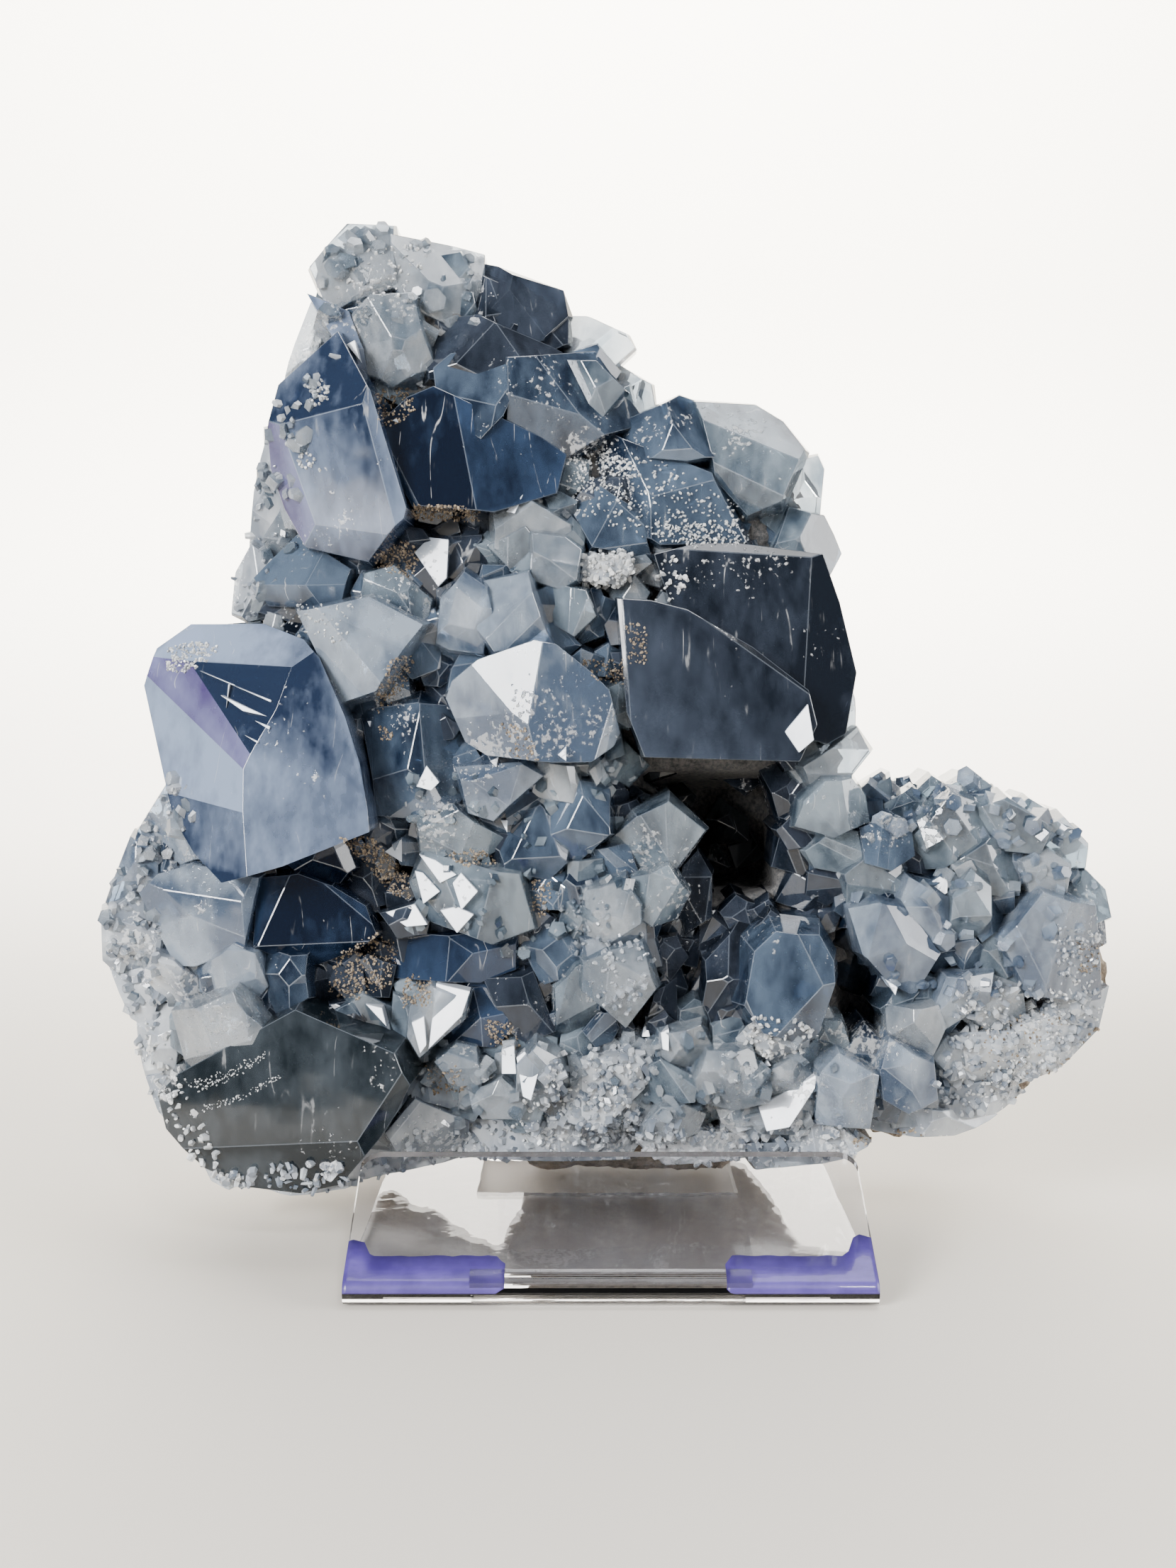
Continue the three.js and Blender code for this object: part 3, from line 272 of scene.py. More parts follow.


# deep and pale are the colour inside and where it turns milky, and cloud is how strongly they alternate.
# absorb and density say how fast the crystal darkens with depth, per metre. The rest are shares.
# From clear through pale, mist and slate to dark and navy the looks are one mineral made darker step by
# step: partly its own colour, partly painted shade for crystals that sit deeper or in shade.
crystalLooks = {
    "clear": {"deep": (0.20, 0.26, 0.33), "pale": (0.68, 0.74, 0.80), "through": 0.72, "rough": 0.05,
              "shine": 0.5, "absorb": (0.28, 0.48, 0.64), "density": 10,
              "cloud": 4.0, "cracks": 0.8, "sugar": 0.40, "edge": 0.45},
    "pale": {"deep": (0.12, 0.17, 0.26), "pale": (0.53, 0.63, 0.75), "through": 0.68, "rough": 0.05,
             "shine": 0.5, "absorb": (0.22, 0.44, 0.66), "density": 16,
             "cloud": 4.0, "cracks": 0.8, "sugar": 0.38, "edge": 0.4},
    "mist": {"deep": (0.06, 0.09, 0.13), "pale": (0.36, 0.45, 0.53), "through": 0.66, "rough": 0.05,
             "shine": 0.45, "absorb": (0.20, 0.38, 0.52), "density": 26,
             "cloud": 4.0, "cracks": 0.8, "sugar": 0.38, "edge": 0.35},
    "slate": {"deep": (0.012, 0.024, 0.05), "pale": (0.14, 0.20, 0.29), "through": 0.62, "rough": 0.05,
              "shine": 0.35, "absorb": (0.12, 0.32, 0.52), "density": 46,
              "cloud": 3.6, "cracks": 0.7, "sugar": 0.36, "edge": 0.3},
    "dark": {"deep": (0.006, 0.010, 0.018), "pale": (0.05, 0.065, 0.095), "through": 0.5, "rough": 0.05,
             "shine": 0.28, "absorb": (0.1, 0.2, 0.34), "density": 150,
             "cloud": 3.2, "cracks": 0.6, "sugar": 0.32, "edge": 0.15},
    "navy": {"deep": (0.003, 0.008, 0.022), "pale": (0.035, 0.065, 0.13), "through": 0.5, "rough": 0.04,
             "shine": 0.3, "absorb": (0.05, 0.2, 0.42), "density": 130,
             "cloud": 3.2, "cracks": 0.7, "sugar": 0.28, "edge": 0.18},
    "lavender": {"deep": (0.014, 0.028, 0.065), "pale": (0.34, 0.43, 0.61), "through": 0.52, "rough": 0.05,
                 "shine": 0.45, "absorb": (0.26, 0.36, 0.62), "density": 50,
                 "cloud": 2.2, "cracks": 0.5, "sugar": 0.34, "edge": 0.25},
    "deep": {"deep": (0.009, 0.015, 0.020), "pale": (0.066, 0.082, 0.098), "through": 0.5, "rough": 0.06,
             "shine": 0.22, "absorb": (0.14, 0.3, 0.4), "density": 90,
             "cloud": 3.6, "cracks": 0.3, "sugar": 0.36, "edge": 0.18},
    # glint is pale all through: a painted highlight on the faces turned to the lamp
    "glint": {"deep": (0.3, 0.34, 0.4), "pale": (0.60, 0.64, 0.70), "through": 0.2, "rough": 0.09,
              "shine": 0.36, "absorb": (0.4, 0.6, 0.7), "density": 10,
              "cloud": 2.0, "cracks": 0.3, "sugar": 0.4, "edge": 0.3},
    # pocket is near black: painted shade for the crystals deep in the hollow
    "pocket": {"deep": (0.002, 0.003, 0.004), "pale": (0.022, 0.026, 0.03), "through": 0.4, "rough": 0.06,
               "shine": 0.15, "absorb": (0.1, 0.2, 0.34), "density": 150,
               "cloud": 3.0, "cracks": 0.2, "sugar": 0.2, "edge": 0.04},
    "sugar": {"deep": (0.30, 0.32, 0.34), "pale": (0.74, 0.75, 0.74), "through": 0.15, "rough": 0.22,
              "shine": 0.5, "absorb": (0.4, 0.6, 0.7), "density": 10,
              "cloud": 2.0, "cracks": 0.0, "sugar": 0.5, "edge": 0.2},
    "sand": {"deep": (0.08, 0.06, 0.042), "pale": (0.34, 0.27, 0.19), "through": 0.0, "rough": 0.8,
             "shine": 0.3, "absorb": (0.4, 0.6, 0.7), "density": 10,
             "cloud": 2.0, "cracks": 0.0, "sugar": 0.1, "edge": 0.0},
    "frost": {"deep": (0.20, 0.24, 0.30), "pale": (0.68, 0.72, 0.76), "through": 0.45, "rough": 0.12,
              "shine": 0.5, "absorb": (0.4, 0.6, 0.7), "density": 12,
              "cloud": 3.0, "cracks": 0.3, "sugar": 0.5, "edge": 0.4},
}
# violet is the colour of a painted reflection on the faces marked violet
finish = {"ior": 1.62, "speck": (0.86, 0.87, 0.88, 1), "violet": (0.16, 0.10, 0.34, 1),
          # edge is the pale of a painted highlight along the bevels
          "edge": (0.55, 0.62, 0.72, 1), "lineLift": 0.00002, "speckLift": 0.0001, "solidBelow": 0.3,
          "shadeShare": 0.55, "toneShare": 0.34, "glowShare": 0.9, "dustShare": 0.7, "dustRough": 0.4}


def crystalMaterial(name, look):
    made, tree, shader = newMaterial(name)
    inside = useGroup(tree, "inside", Cracks=look["cracks"])
    specks = useGroup(tree, "specks", Cover=look["sugar"])
    lines = useGroup(tree, "lines")
    cloud = maths(tree, "MULTIPLY", maths(tree, "SUBTRACT", inside.outputs["Cloud"], 0.5), look["cloud"])
    # lit blends the painted light and shade of the shade mark with the crystal's own tone
    lit = maths(tree, "ADD", maths(tree, "MULTIPLY", markOf(tree, "shade"), finish["shadeShare"]),
                maths(tree, "MULTIPLY", markOf(tree, "tone"), finish["toneShare"]))
    # glow adds painted light that brightens and darkens the faces slowly across the crystal
    glowing = maths(tree, "ADD", lit, maths(tree, "MULTIPLY", markOf(tree, "glow"), finish["glowShare"]))
    body = blendColours(tree, maths(tree, "ADD", glowing, cloud), (*look["deep"], 1), (*look["pale"], 1))
    # the faces marked violet take a painted violet reflection
    violet = blendColours(tree, markOf(tree, "violet"), body, finish["violet"])
    veined = blendColours(tree, inside.outputs["Line"], violet, finish["speck"])
    whitened = maths(tree, "MULTIPLY", specks.outputs["Mask"], finish["dustShare"])
    dusted = blendColours(tree, whitened, veined, finish["speck"])
    # the bevels take a painted pale highlight
    edge = maths(tree, "MULTIPLY", markOf(tree, "edge"), look["edge"])
    colour = blendColours(tree, edge, dusted, finish["edge"])
    roughened = maths(tree, "MULTIPLY", specks.outputs["Mask"], finish["dustRough"])
    rough = maths(tree, "ADD", roughened, look["rough"])
    height = maths(tree, "ADD", maths(tree, "MULTIPLY", lines.outputs["Height"], finish["lineLift"]),
                   maths(tree, "MULTIPLY", specks.outputs["Mask"], finish["speckLift"]))
    setInputs(tree, shader, Base_Color=colour, Roughness=rough, IOR=finish["ior"],
              Transmission_Weight=look["through"], Specular_IOR_Level=look["shine"],
              Normal=raised(tree, height))
    if look["through"] > finish["solidBelow"]:
        absorb = addNode(tree, "VolumeAbsorption")
        setInputs(tree, absorb, Color=(*look["absorb"], 1), Density=look["density"])
        tree.links.new(absorb.outputs[0], tree.nodes["Material Output"].inputs["Volume"])
    return made


# The meshes are made, cut and joined with the helpers from here to the crystals.
def newPiece(name, bm, material, smooth=False):
    mesh = bpy.data.meshes.new(name)
    bmesh.ops.scale(bm, vec=(mm, mm, mm), verts=bm.verts)
    bm.to_mesh(mesh)
    bm.free()
    mesh.materials.append(material)
    for face in mesh.polygons:
        face.use_smooth = smooth
    piece = bpy.data.objects.new(name, mesh)
    bpy.context.scene.collection.objects.link(piece)
    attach(piece, "root")
    return piece


def corner(x, y, z):
    # a face-on place (x, z) of the plane y = 0, moved along its sight line to depth y
    reach = (y - eye.y) / -eye.y
    return Vector((eye.x + (x - eye.x) * reach, y, eye.z + (z - eye.z) * reach))


def chance(index):
    wave = math.sin(index * 12.9898) * 43758.5453
    return wave - math.floor(wave)


def pairs(flat):
    return list(zip(flat[::2], flat[1::2]))


def triples(flat):
    return list(zip(flat[::3], flat[1::3], flat[2::3]))


# shade is painted light and shade on each face, violet a painted violet reflection, edge marks the bevels
faceMarks = ("edge", "shade", "violet")  # what each face tells its material


def planeCut(bm, point, normal, **marks):
    # takes away what lies in front of the plane, closes the cut and marks the new face
    geometry = bm.verts[:] + bm.edges[:] + bm.faces[:]
    bmesh.ops.bisect_plane(bm, geom=geometry, dist=1e-5, plane_co=point, plane_no=normal, clear_outer=True)
    rim = [edge for edge in bm.edges if len(edge.link_faces) == 1]
    if rim:
        for face in bmesh.ops.contextual_create(bm, geom=rim)["faces"]:
            for label, value in marks.items():
                face[bm.faces.layers.float[label]] = value


def markedMesh():
    bm = bmesh.new()
    for label in faceMarks:
        bm.faces.layers.float.new(label)
    return bm


def hullOf(points):
    bm = markedMesh()
    for point in points:
        bm.verts.new(point)
    made = bmesh.ops.convex_hull(bm, input=bm.verts[:])
    spare = made["geom_interior"] + made["geom_unused"]
    corners = {item for item in spare if isinstance(item, bmesh.types.BMVert)}
    bmesh.ops.delete(bm, geom=list(corners), context="VERTS")
    return bm


def edgesOver(bm, sharp):
    # the edges whose two faces meet at more than this angle, in radians
    return [edge for edge in bm.edges if len(edge.link_faces) == 2 and edge.calc_face_angle(0) > sharp]


def bevelEdges(bm, edges, width, segments):
    return bmesh.ops.bevel(bm, geom=edges, offset=width, offset_type="OFFSET", segments=segments,
                           profile=0.5, affect="EDGES", material=-1, clamp_overlap=True)


def softenEdges(bm, width):
    # one narrow bevel along every real edge, whose faces carry the edge mark that the crystal material
    # paints pale as a highlight
    bmesh.ops.dissolve_limit(bm, angle_limit=math.radians(2), verts=bm.verts[:], edges=bm.edges[:])
    made = bevelEdges(bm, edgesOver(bm, growth["sharp"]), width, 1)
    mark = bm.faces.layers.float["edge"]
    for face in made["faces"]:
        face[mark] = 1.0


def addTo(store, bm, tone):
    # gathers one crystal into a joined piece, with its own tone and a glow that runs across its faces:
    # painted light, brighter and darker in slow patches
    layer = bm.verts.layers.float.new("tone")
    glow = bm.verts.layers.float.new("glow")
    shift = Vector((tone * growth["glowShift"], 0, 0))
    for vert in bm.verts:
        vert[layer] = tone
        vert[glow] = noise.noise(vert.co * growth["glow"] + shift)
    carrier = bpy.data.meshes.new("carrier")
    bm.to_mesh(carrier)
    bm.free()
    store.from_mesh(carrier)
    bpy.data.meshes.remove(carrier)


def newStore():
    store = markedMesh()
    store.verts.layers.float.new("tone")
    store.verts.layers.float.new("glow")
    return store


# The large crystals. Each row gives its look, the depth of its rim, its outline (x, z) and its front
# corners (x, y, z), and for the largest ones their facets. A cut is a plane through two places of the
# front, then how steeply it falls away to the right of the line between them, or a plane through three
# places and None. After it come how pale the new face is painted and how violet: the paleness is painted
# light and shade for what each facet reflects and lets through, and the violet is a painted reflection.
growth = {"root": 24, "crown": 0.8, "pull": 0.6, "overshoot": 1.5, "swell": 1.12, "heroSwell": 1.03,
          "corners": 5, "cornerSpread": 2.5, "heroCorners": 14, "leastHeight": 2, "freedom": 25,
          "chamfers": 2, "chamferSpread": 2.6, "chamferReach": 0.3, "reachSpread": 1.3, "steep": 0.3,
          "steepSpread": 0.6, "small": 5, "sharp": 0.18, "edge": 0.15, "edgeShare": 0.05,
          "backLimit": 13.5, "backSpread": 4.5, "shade": 0.3, "shadeSpread": 0.5, "sideShade": 0.35,
          "dullBelow": 0.4, "mirrorGap": 0.24, "skyward": 0.12, "ownSlope": 0.5, "turnSpread": 0.4,
          "glow": 0.14, "glowShift": 50}
lampFacing = {name: Vector(lamp["at"]) / mm for name, lamp in lamps.items()}

peak = [
    ("dark", 0, [-44, 214, -30, 216, -20, 212, -12, 208, -16, 200, -30, 199, -42, 201],
     [-32, -9, 208, -22, -8, 206]),
    ("clear", 4,
     [-69, 221, -68.5, 227, -65, 233, -60, 236.5, -56, 237, -50, 236, -47, 231, -48, 222, -64, 216.5],
     [-61, -4, 229, -54, -6, 226, -60, -3, 221]),
    ("clear", 5,
     [-50, 234, -44, 232, -36, 231, -32.5, 233.5, -30, 230, -30, 219, -36, 213, -44, 216, -50, 222],
     [-41, -3, 227, -45, -5, 221, -36, -2, 219]),
    ("clear", 0,
     [-59, 216, -55, 220.5, -45, 221, -42, 214, -42, 209, -40, 204, -42, 200.5, -50, 199.5, -56, 203],
     [-54, -10, 215, -45, -10, 215, -44, -9, 205, -53, -9, 205]),
    ("dark", 7,
     [-30, 228, -20, 224.5, -12, 221.5, -10, 216, -14, 209, -24, 206, -38, 204, -42, 210, -38, 216],
     [-30, 1, 219.5, -16, 0, 219.5, -14, 1, 212, -34, 1, 208]),
    ("clear", 8, [-10, 216.5, -5, 216, 0, 214, 4, 212, 5.5, 209, 3, 205, -2, 202, -8, 206, -13, 209.5],
     [-6, 3, 213, -3, 2, 206, 1, 4, 210]),
    ("clear", 9, [-2, 204, 3, 204.5, 10, 200.5, 10.5, 196, 6, 192, -1, 196],
     [3, 4, 200, 7, 5, 197]),
    ("lavender", 0, [-69, 220.5, -64, 219, -60, 217, -56, 208, -55.5, 202, -61, 206, -65, 212],
     [-62, -6, 213, -58, -6, 206]),
]
upperFace = [
    ("slate", 0, [-24, 206, -13, 207, -4, 207, -1.5, 198, 7, 192, 0, 186, -10, 183, -24, 186],
     [-15, -10, 204, -6, -9, 202, -18, -13, 191, -5, -10, 190]),
    ("navy", -2,
     [-52, 191, -46, 196.5, -40, 199, -30, 193, -16, 188, -10, 184, -12, 175, -26, 170, -36, 173,
      -45, 171.5, -46.5, 176, -50, 181],
     [-33, -15, 187, -42, -10, 191, -29, -17, 176, -18, -14, 181],
     {"shade": 0.0, "crown": 0.95, "cuts": (
         ((-31, 172, -36, 198), 0.35, 1.0), ((-52, 188, -44, 172), 0.9, 0.7))}),
    ("lavender", -5,
     [-76, 200, -72, 203, -66, 208, -62, 212, -57, 203, -53.5, 198, -52.5, 188, -50, 181, -45.5, 171,
      -46, 168.5, -55, 159, -62, 160.5, -70, 163, -75, 172, -78, 181, -78.5, 190],
     [-66, -18, 196, -59, -20, 191, -56, -23, 176, -63, -24, 171, -70, -16, 183, -60, -18, 164],
     {"shade": 0.55, "crown": 0.92, "cuts": (
         ((-75, 187, -66, 161), 0.7, 0.7, 0.35), ((-51, 172, -58, 199), 0.55, 0.95),
         ((-56, 201, -78, 192), 0.5, 0.35), ((-70, 166, -50, 166), 0.4, 0.3))}),
    ("slate", -1, [10, 194, 16, 197.5, 20, 196, 22, 190, 25, 183, 18, 182, 8, 183, 0, 186, 4, 192],
     [12, -9, 192, 18, -11, 190, 22, -10, 184, 10, -9, 185]),
    ("mist", 1,
     [20, 196, 28, 195, 34, 195, 40, 191.5, 44, 188, 45.5, 185, 43, 178, 40, 172, 32, 170, 24, 178],
     [30, -9, 188, 38, -9, 187, 36, -11, 177, 28, -9, 182]),
    ("slate", -3,
     [-12, 182, -6, 188, 2, 188, 10, 184, 18, 182, 24, 180, 32, 171, 32, 164, 26, 162, 12, 162, 0, 168,
      -9, 174],
     [0, -10, 182, 14, -12, 176, 22, -12, 169, 4, -11, 172]),
    ("slate", -4, [-9, 173, -2, 177, 8, 171, 12, 165, 10, 160, 2, 160, -5, 162],
     [0, -12, 170, 6, -11, 165]),
    ("clear", 5, [43, 183, 48.5, 184, 50, 181, 49, 176, 49, 169, 44, 169, 41, 173],
     [46, -1, 179, 46, -1, 173]),
    ("mist", 2, [42, 172, 50, 170, 52.5, 166, 54, 162, 53, 157, 50, 155, 36, 159, 35, 165],
     [44, -7, 167, 49, -5, 165, 40, -6, 163]),
]
leftWall = [
    ("frost", 6, [-69, 219, -65, 214, -68, 206, -76, 199, -74, 206, -71, 211],
     [-69, 1, 210, -72, 2, 205]),
    ("frost", 6, [-79, 190, -77, 184, -74, 168, -80, 158, -84, 162, -82.5, 176, -81, 183],
     [-78, 0, 178, -79, 0, 168]),
    ("frost", 6, [-88, 148, -87, 157, -83, 164, -77, 160, -79, 148, -84, 146],
     [-82, -1, 155]),
    ("slate", -5, [-82, 156, -76, 163, -72, 166, -66, 162, -60, 158, -62, 148, -70, 147, -79, 150],
     [-73, -13, 158, -66, -14, 153, -74, -12, 152]),
    ("mist", -7, [-57, 157, -50, 159, -46, 157, -41, 151, -42, 145, -50, 147, -58, 150],
     [-50, -15, 154, -46, -15, 150]),
    ("pale", -9,
     [-72, 148, -55, 151.5, -44, 149, -42, 145, -48, 136, -53, 129, -57, 126, -62, 127, -66, 137, -74, 142],
     [-60, -22, 146, -50, -21, 145, -57, -25, 133, -66, -18, 141]),
]
bigLeft = [
    ("lavender", -4,
     [-98, 144.5, -80, 144.5, -70, 141, -66, 137, -60, 124, -56.5, 114, -54.5, 104, -54, 99, -64, 95,
      -73, 91.5, -87, 87.5, -94, 93.5, -99.5, 101, -108, 130.5, -105.5, 139],
     [-98, -20, 136, -74, -26, 134.5, -66, -20, 136, -84, -33, 113, -85.5, -32, 100.5, -62, -23, 114,
      -104, -13, 133, -72, -26, 100],
     {"shade": 0.38, "crown": 0.985, "edge": 0.04, "cuts": (
         ((-74.5, 135.5, -83.2, 112.4), 0.5, -0.6),
         ((-98, 135.5, -83.2, 112.4, -84.2, 109), None, 0.7, 0.5),
         ((-105.5, 130, -84.2, 109, -83.6, 100), None, 1.5), ((-97, 103.6, -83.6, 100, -82, 88), None, 0.3),
         ((-74.5, 135.3, -98, 136.5), 0.8, 1.6), ((-57, 104, -66, 113), 0.12, 0.45))}),
]
centreUpper = [
    ("dark", -1, [-54, 160, -46, 170, -36, 172.5, -30, 168, -29, 160, -35, 153, -41, 151, -48, 156],
     [-42, -8, 165.5, -37.5, -9, 165, -38, -10, 156, -45.5, -7, 162]),
    ("clear", -5, [-27, 172, -20, 175.5, -13, 173, -8, 168, -8, 162, -14, 161, -20, 159, -27, 162],
     [-20, -13, 171, -14, -12, 168, -23, -11, 164]),
    ("clear", -10, [-18, 166.5, -10, 165.5, -6, 162.5, -7, 155, -11, 153, -18, 155.5],
     [-16, -18, 164, -8.5, -17, 161.5, -9, -17, 155.5, -16, -18, 157]),
    ("frost", -8, [-6, 161, 0, 163, 5, 161.5, 6, 157, 2, 154, -3, 153.5, -7, 155],
     [-2, -15, 159, 3, -14, 158]),
    ("pale", -12, [-39, 151, -33.5, 157.5, -28, 154, -26, 148, -29, 138, -37, 139.5, -40, 141],
     [-33, -21, 153, -31, -21, 143, -37, -18, 148]),
    ("pale", -14, [-29, 154.5, -19, 157, -15.5, 152, -13.5, 150, -13.5, 141, -18, 139, -27, 138, -31, 144],
     [-25, -23, 151.5, -18, -24, 149, -23, -25, 141.5, -16.5, -22, 143.5]),
    ("mist", -9, [-14, 155, -8, 154, -5, 153.5, -2.5, 147, -4, 143, -8, 141.5, -13, 145],
     [-8.5, -17, 151, -7, -17, 145]),
    ("pale", -12,
     [-17, 141.5, -12, 140.5, -4, 134, 0, 130, 2.5, 120, 1, 117, -4, 113.5, -13, 113.5, -28, 115, -33, 118,
      -37.5, 128, -36, 132, -30, 137],
     [-30, -25, 134.5, -17, -25, 140, -15, -30, 134, -19.5, -33, 121.5, -3, -20, 121, -31, -25, 124],
     {"shade": 1.0, "facing": "window", "crown": 0.95, "cuts": (
         ((-19, 121.5, -15.5, 141), 0.42, -0.1), ((-27, 127.5, -19, 121.5), 0.5, 0.3),
         ((-31, 134, -27.5, 124), 0.6, 1.0), ((-3, 114, 0, 124), 0.9, 0.9))}),
]
bigRight = [
    ("dark", -14,
     [2, 151, 10, 150.5, 18, 148.5, 33, 140, 46, 130, 48, 122, 44, 113.5, 8, 114.5, 6, 120, 4, 125,
      3.5, 139],
     [30, -22, 134, 10, -19, 143, 43, -21, 124, 42, -22, 114.5, 12, -22, 116],
     {"shade": 0.75, "crown": 0.97, "cuts": (
         ((4, 140, 5, 126), 0.5, 0.3), ((47, 129, 20, 148), 0.3, 0.1))}),
    ("dark", -3,
     [10, 161, 20, 163.5, 30, 163.5, 49, 161, 53, 150, 57, 134, 54.5, 120, 50, 117.5, 40, 120, 16, 142],
     [22, -15, 159, 34, -18, 153, 46, -14, 158, 50.5, -14, 136, 42, -21, 132, 28, -20, 143, 49, -13, 122],
     {"shade": 0.25, "crown": 0.95, "cuts": (
         ((46, 128, 47.5, 160), 0.36, 0.0), ((48, 161, 12, 163), 0.8, 0.6))}),
    ("clear", 3, [55.5, 134, 57.5, 128, 58, 119, 53, 118],
     [56, -3, 126]),
]
cavityRight = [
    ("clear", -7, [44, 112, 50, 117, 58, 120.5, 61.5, 115.5, 58, 109, 54, 106, 47, 107],
     [50, -14, 113, 57, -13, 115.5, 54, -13, 110]),
    ("mist", -11, [45, 104, 50, 109.5, 57, 109.5, 60, 105, 61, 99, 53, 95, 44, 98],
     [50, -19, 106, 56, -18, 104.5, 51, -18, 100]),
    ("dark", 1, [36, 111, 42, 113, 46, 111, 45, 102, 40, 99, 37, 104],
     [41, -5, 108, 42, -5, 103]),
    ("dark", -3, [39, 97, 43, 101, 49, 98, 49, 93, 42, 92],
     [44, -9, 97]),
    ("mist", -8, [46, 92, 52, 98, 59, 97, 61, 90, 54, 87, 49, 88],
     [53, -14, 94, 56, -13, 91]),
    ("dark", -1, [40, 80, 43, 87, 50, 91, 55, 88, 56, 80, 50, 76],
     [48, -7, 85, 52, -6, 81]),
]
centreLower = [
    ("slate", -9, [-57, 124, -44, 128, -38, 126, -34, 116, -30, 112, -35, 103, -42, 99, -54, 101, -57, 110],
     [-46, -18, 118, -40, -19, 110, -50, -17, 108]),
    ("pale", -13, [-36, 112, -30, 114.5, -20, 114, -15, 110, -19, 104, -27, 99, -33, 101, -36, 106],
     [-27, -22, 111, -21, -22, 108, -28, -21, 103]),
    ("clear", -11, [-17, 114, -8, 112.5, -6, 107, -8, 103, -18, 105],
     [-12, -18, 110, -9, -18, 106.5]),
    ("clear", -12, [-5, 111, -1, 114.5, 1, 111.5, -3, 107],
     [-1.5, -18, 111.5]),
    ("slate", -11, [-7, 109, 0, 107, 1, 96, -8, 89, -13, 92, -15, 100],
     [-4, -18, 104, -3, -19, 97, -9, -17, 97]),
    ("mist", -11, [-46, 103, -36, 104, -27, 99, -24, 94, -32, 89, -44, 91, -47, 96],
     [-38, -19, 99, -31, -19, 95, -42, -17, 95]),
    ("slate", -9, [-27, 98, -16, 104, -8, 98, -9, 89, -14, 85, -25, 87],
     [-18, -16, 98, -14, -16, 94, -18, -16, 90]),
    ("dark", 1, [0, 107, 4, 108.5, 10, 105, 10, 100, 4, 96, 0, 97],
     [4, -5, 103]),
    ("mist", -9, [0, 94, 6, 101, 14, 105, 20, 101, 22.5, 97, 21, 91, 16, 88, 6, 88],
     [8, -18, 99, 16, -19, 99.5, 18, -18, 92, 7, -17, 92]),
    ("dark", -1, [17, 89, 21, 92, 24.5, 87, 24.5, 76, 18, 72, 15, 80],
     [21, -8, 86, 21, -8, 79]),
    ("mist", -12, [5, 86, 8, 89, 14, 90, 18, 88, 19, 82, 16, 76, 10, 74, 6, 77],
     [10, -22, 86, 15, -22, 86, 15.5, -21, 80, 9, -20, 79]),
    ("clear", -14, [-7, 77, -6, 83, 0, 86, 4, 86.5, 8, 80, 8, 75, 0, 70, -5, 72],
     [-2, -23, 83, 4, -24, 81, 1, -24, 75]),
    ("pale", -13, [-6, 71, 0, 73.5, 9, 76, 9, 70, 2, 66, -5, 66],
     [3, -20, 72.5, 0, -18, 69]),
    ("mist", -9, [-10, 90, -1, 91, 1, 85, -6, 81, -10, 84],
     [-5, -15, 87]),
    ("mist", -11,
     [-46, 84, -45, 90, -43, 92, -30, 88, -21, 87, -17, 83, -16, 78, -18, 74, -27, 70, -36, 71, -43, 76],
     [-41, -19, 86, -33, -21, 84, -22, -20, 81, -29, -22, 75, -39, -20, 78]),
    ("dark", -11, [-54, 77, -46, 79.5, -42, 76, -43, 72, -50, 71],
     [-47, -16, 76.5]),
    ("navy", -7, [-52, 72, -40, 71, -30, 72, -21, 74, -20, 69, -22, 64, -30, 61, -44, 60.5, -51, 62],
     [-46, -15, 68.5, -28, -17, 69, -25, -16, 65, -44, -14, 64.5]),
    ("clear", -13, [-42, 60.5, -33, 58, -34, 52, -40, 47, -45, 42.5, -48, 48, -47, 55],
     [-41, -20, 58, -36, -21, 55, -43, -20, 47.5]),
    ("navy", -11, [-34, 59, -28, 59, -22, 50, -27, 45, -36, 44, -41, 46],
     [-30, -17, 54, -31, -17, 49]),
    ("dark", -9, [-30, 62, -18, 63, -13, 57, -12, 49, -20, 46, -25, 50],
     [-21, -16, 58, -17, -15, 52]),
    ("slate", -7, [-21, 70, -17, 75, -8, 74, -4, 69, -9, 62, -16, 60],
     [-13, -14, 70, -11, -14, 65]),
    ("mist", -9, [-13, 60, -8, 66, -2, 68, 2, 60, -1, 53, -6, 48, -13, 49],
     [-6, -16, 61, -7, -15, 54]),
    ("clear", -14, [-6, 66, 0, 70, 8, 71.5, 10, 68, 11.5, 60, 9, 55, 4, 50.5, 0, 52, -6, 59],
     [1, -24, 66, 7, -24, 63, 4, -23, 55, 0, -22, 60]),
    ("dark", -7, [8, 52, 11, 59, 16, 61, 16.5, 50, 12, 45, 7, 46],
     [12, -13, 55]),
]
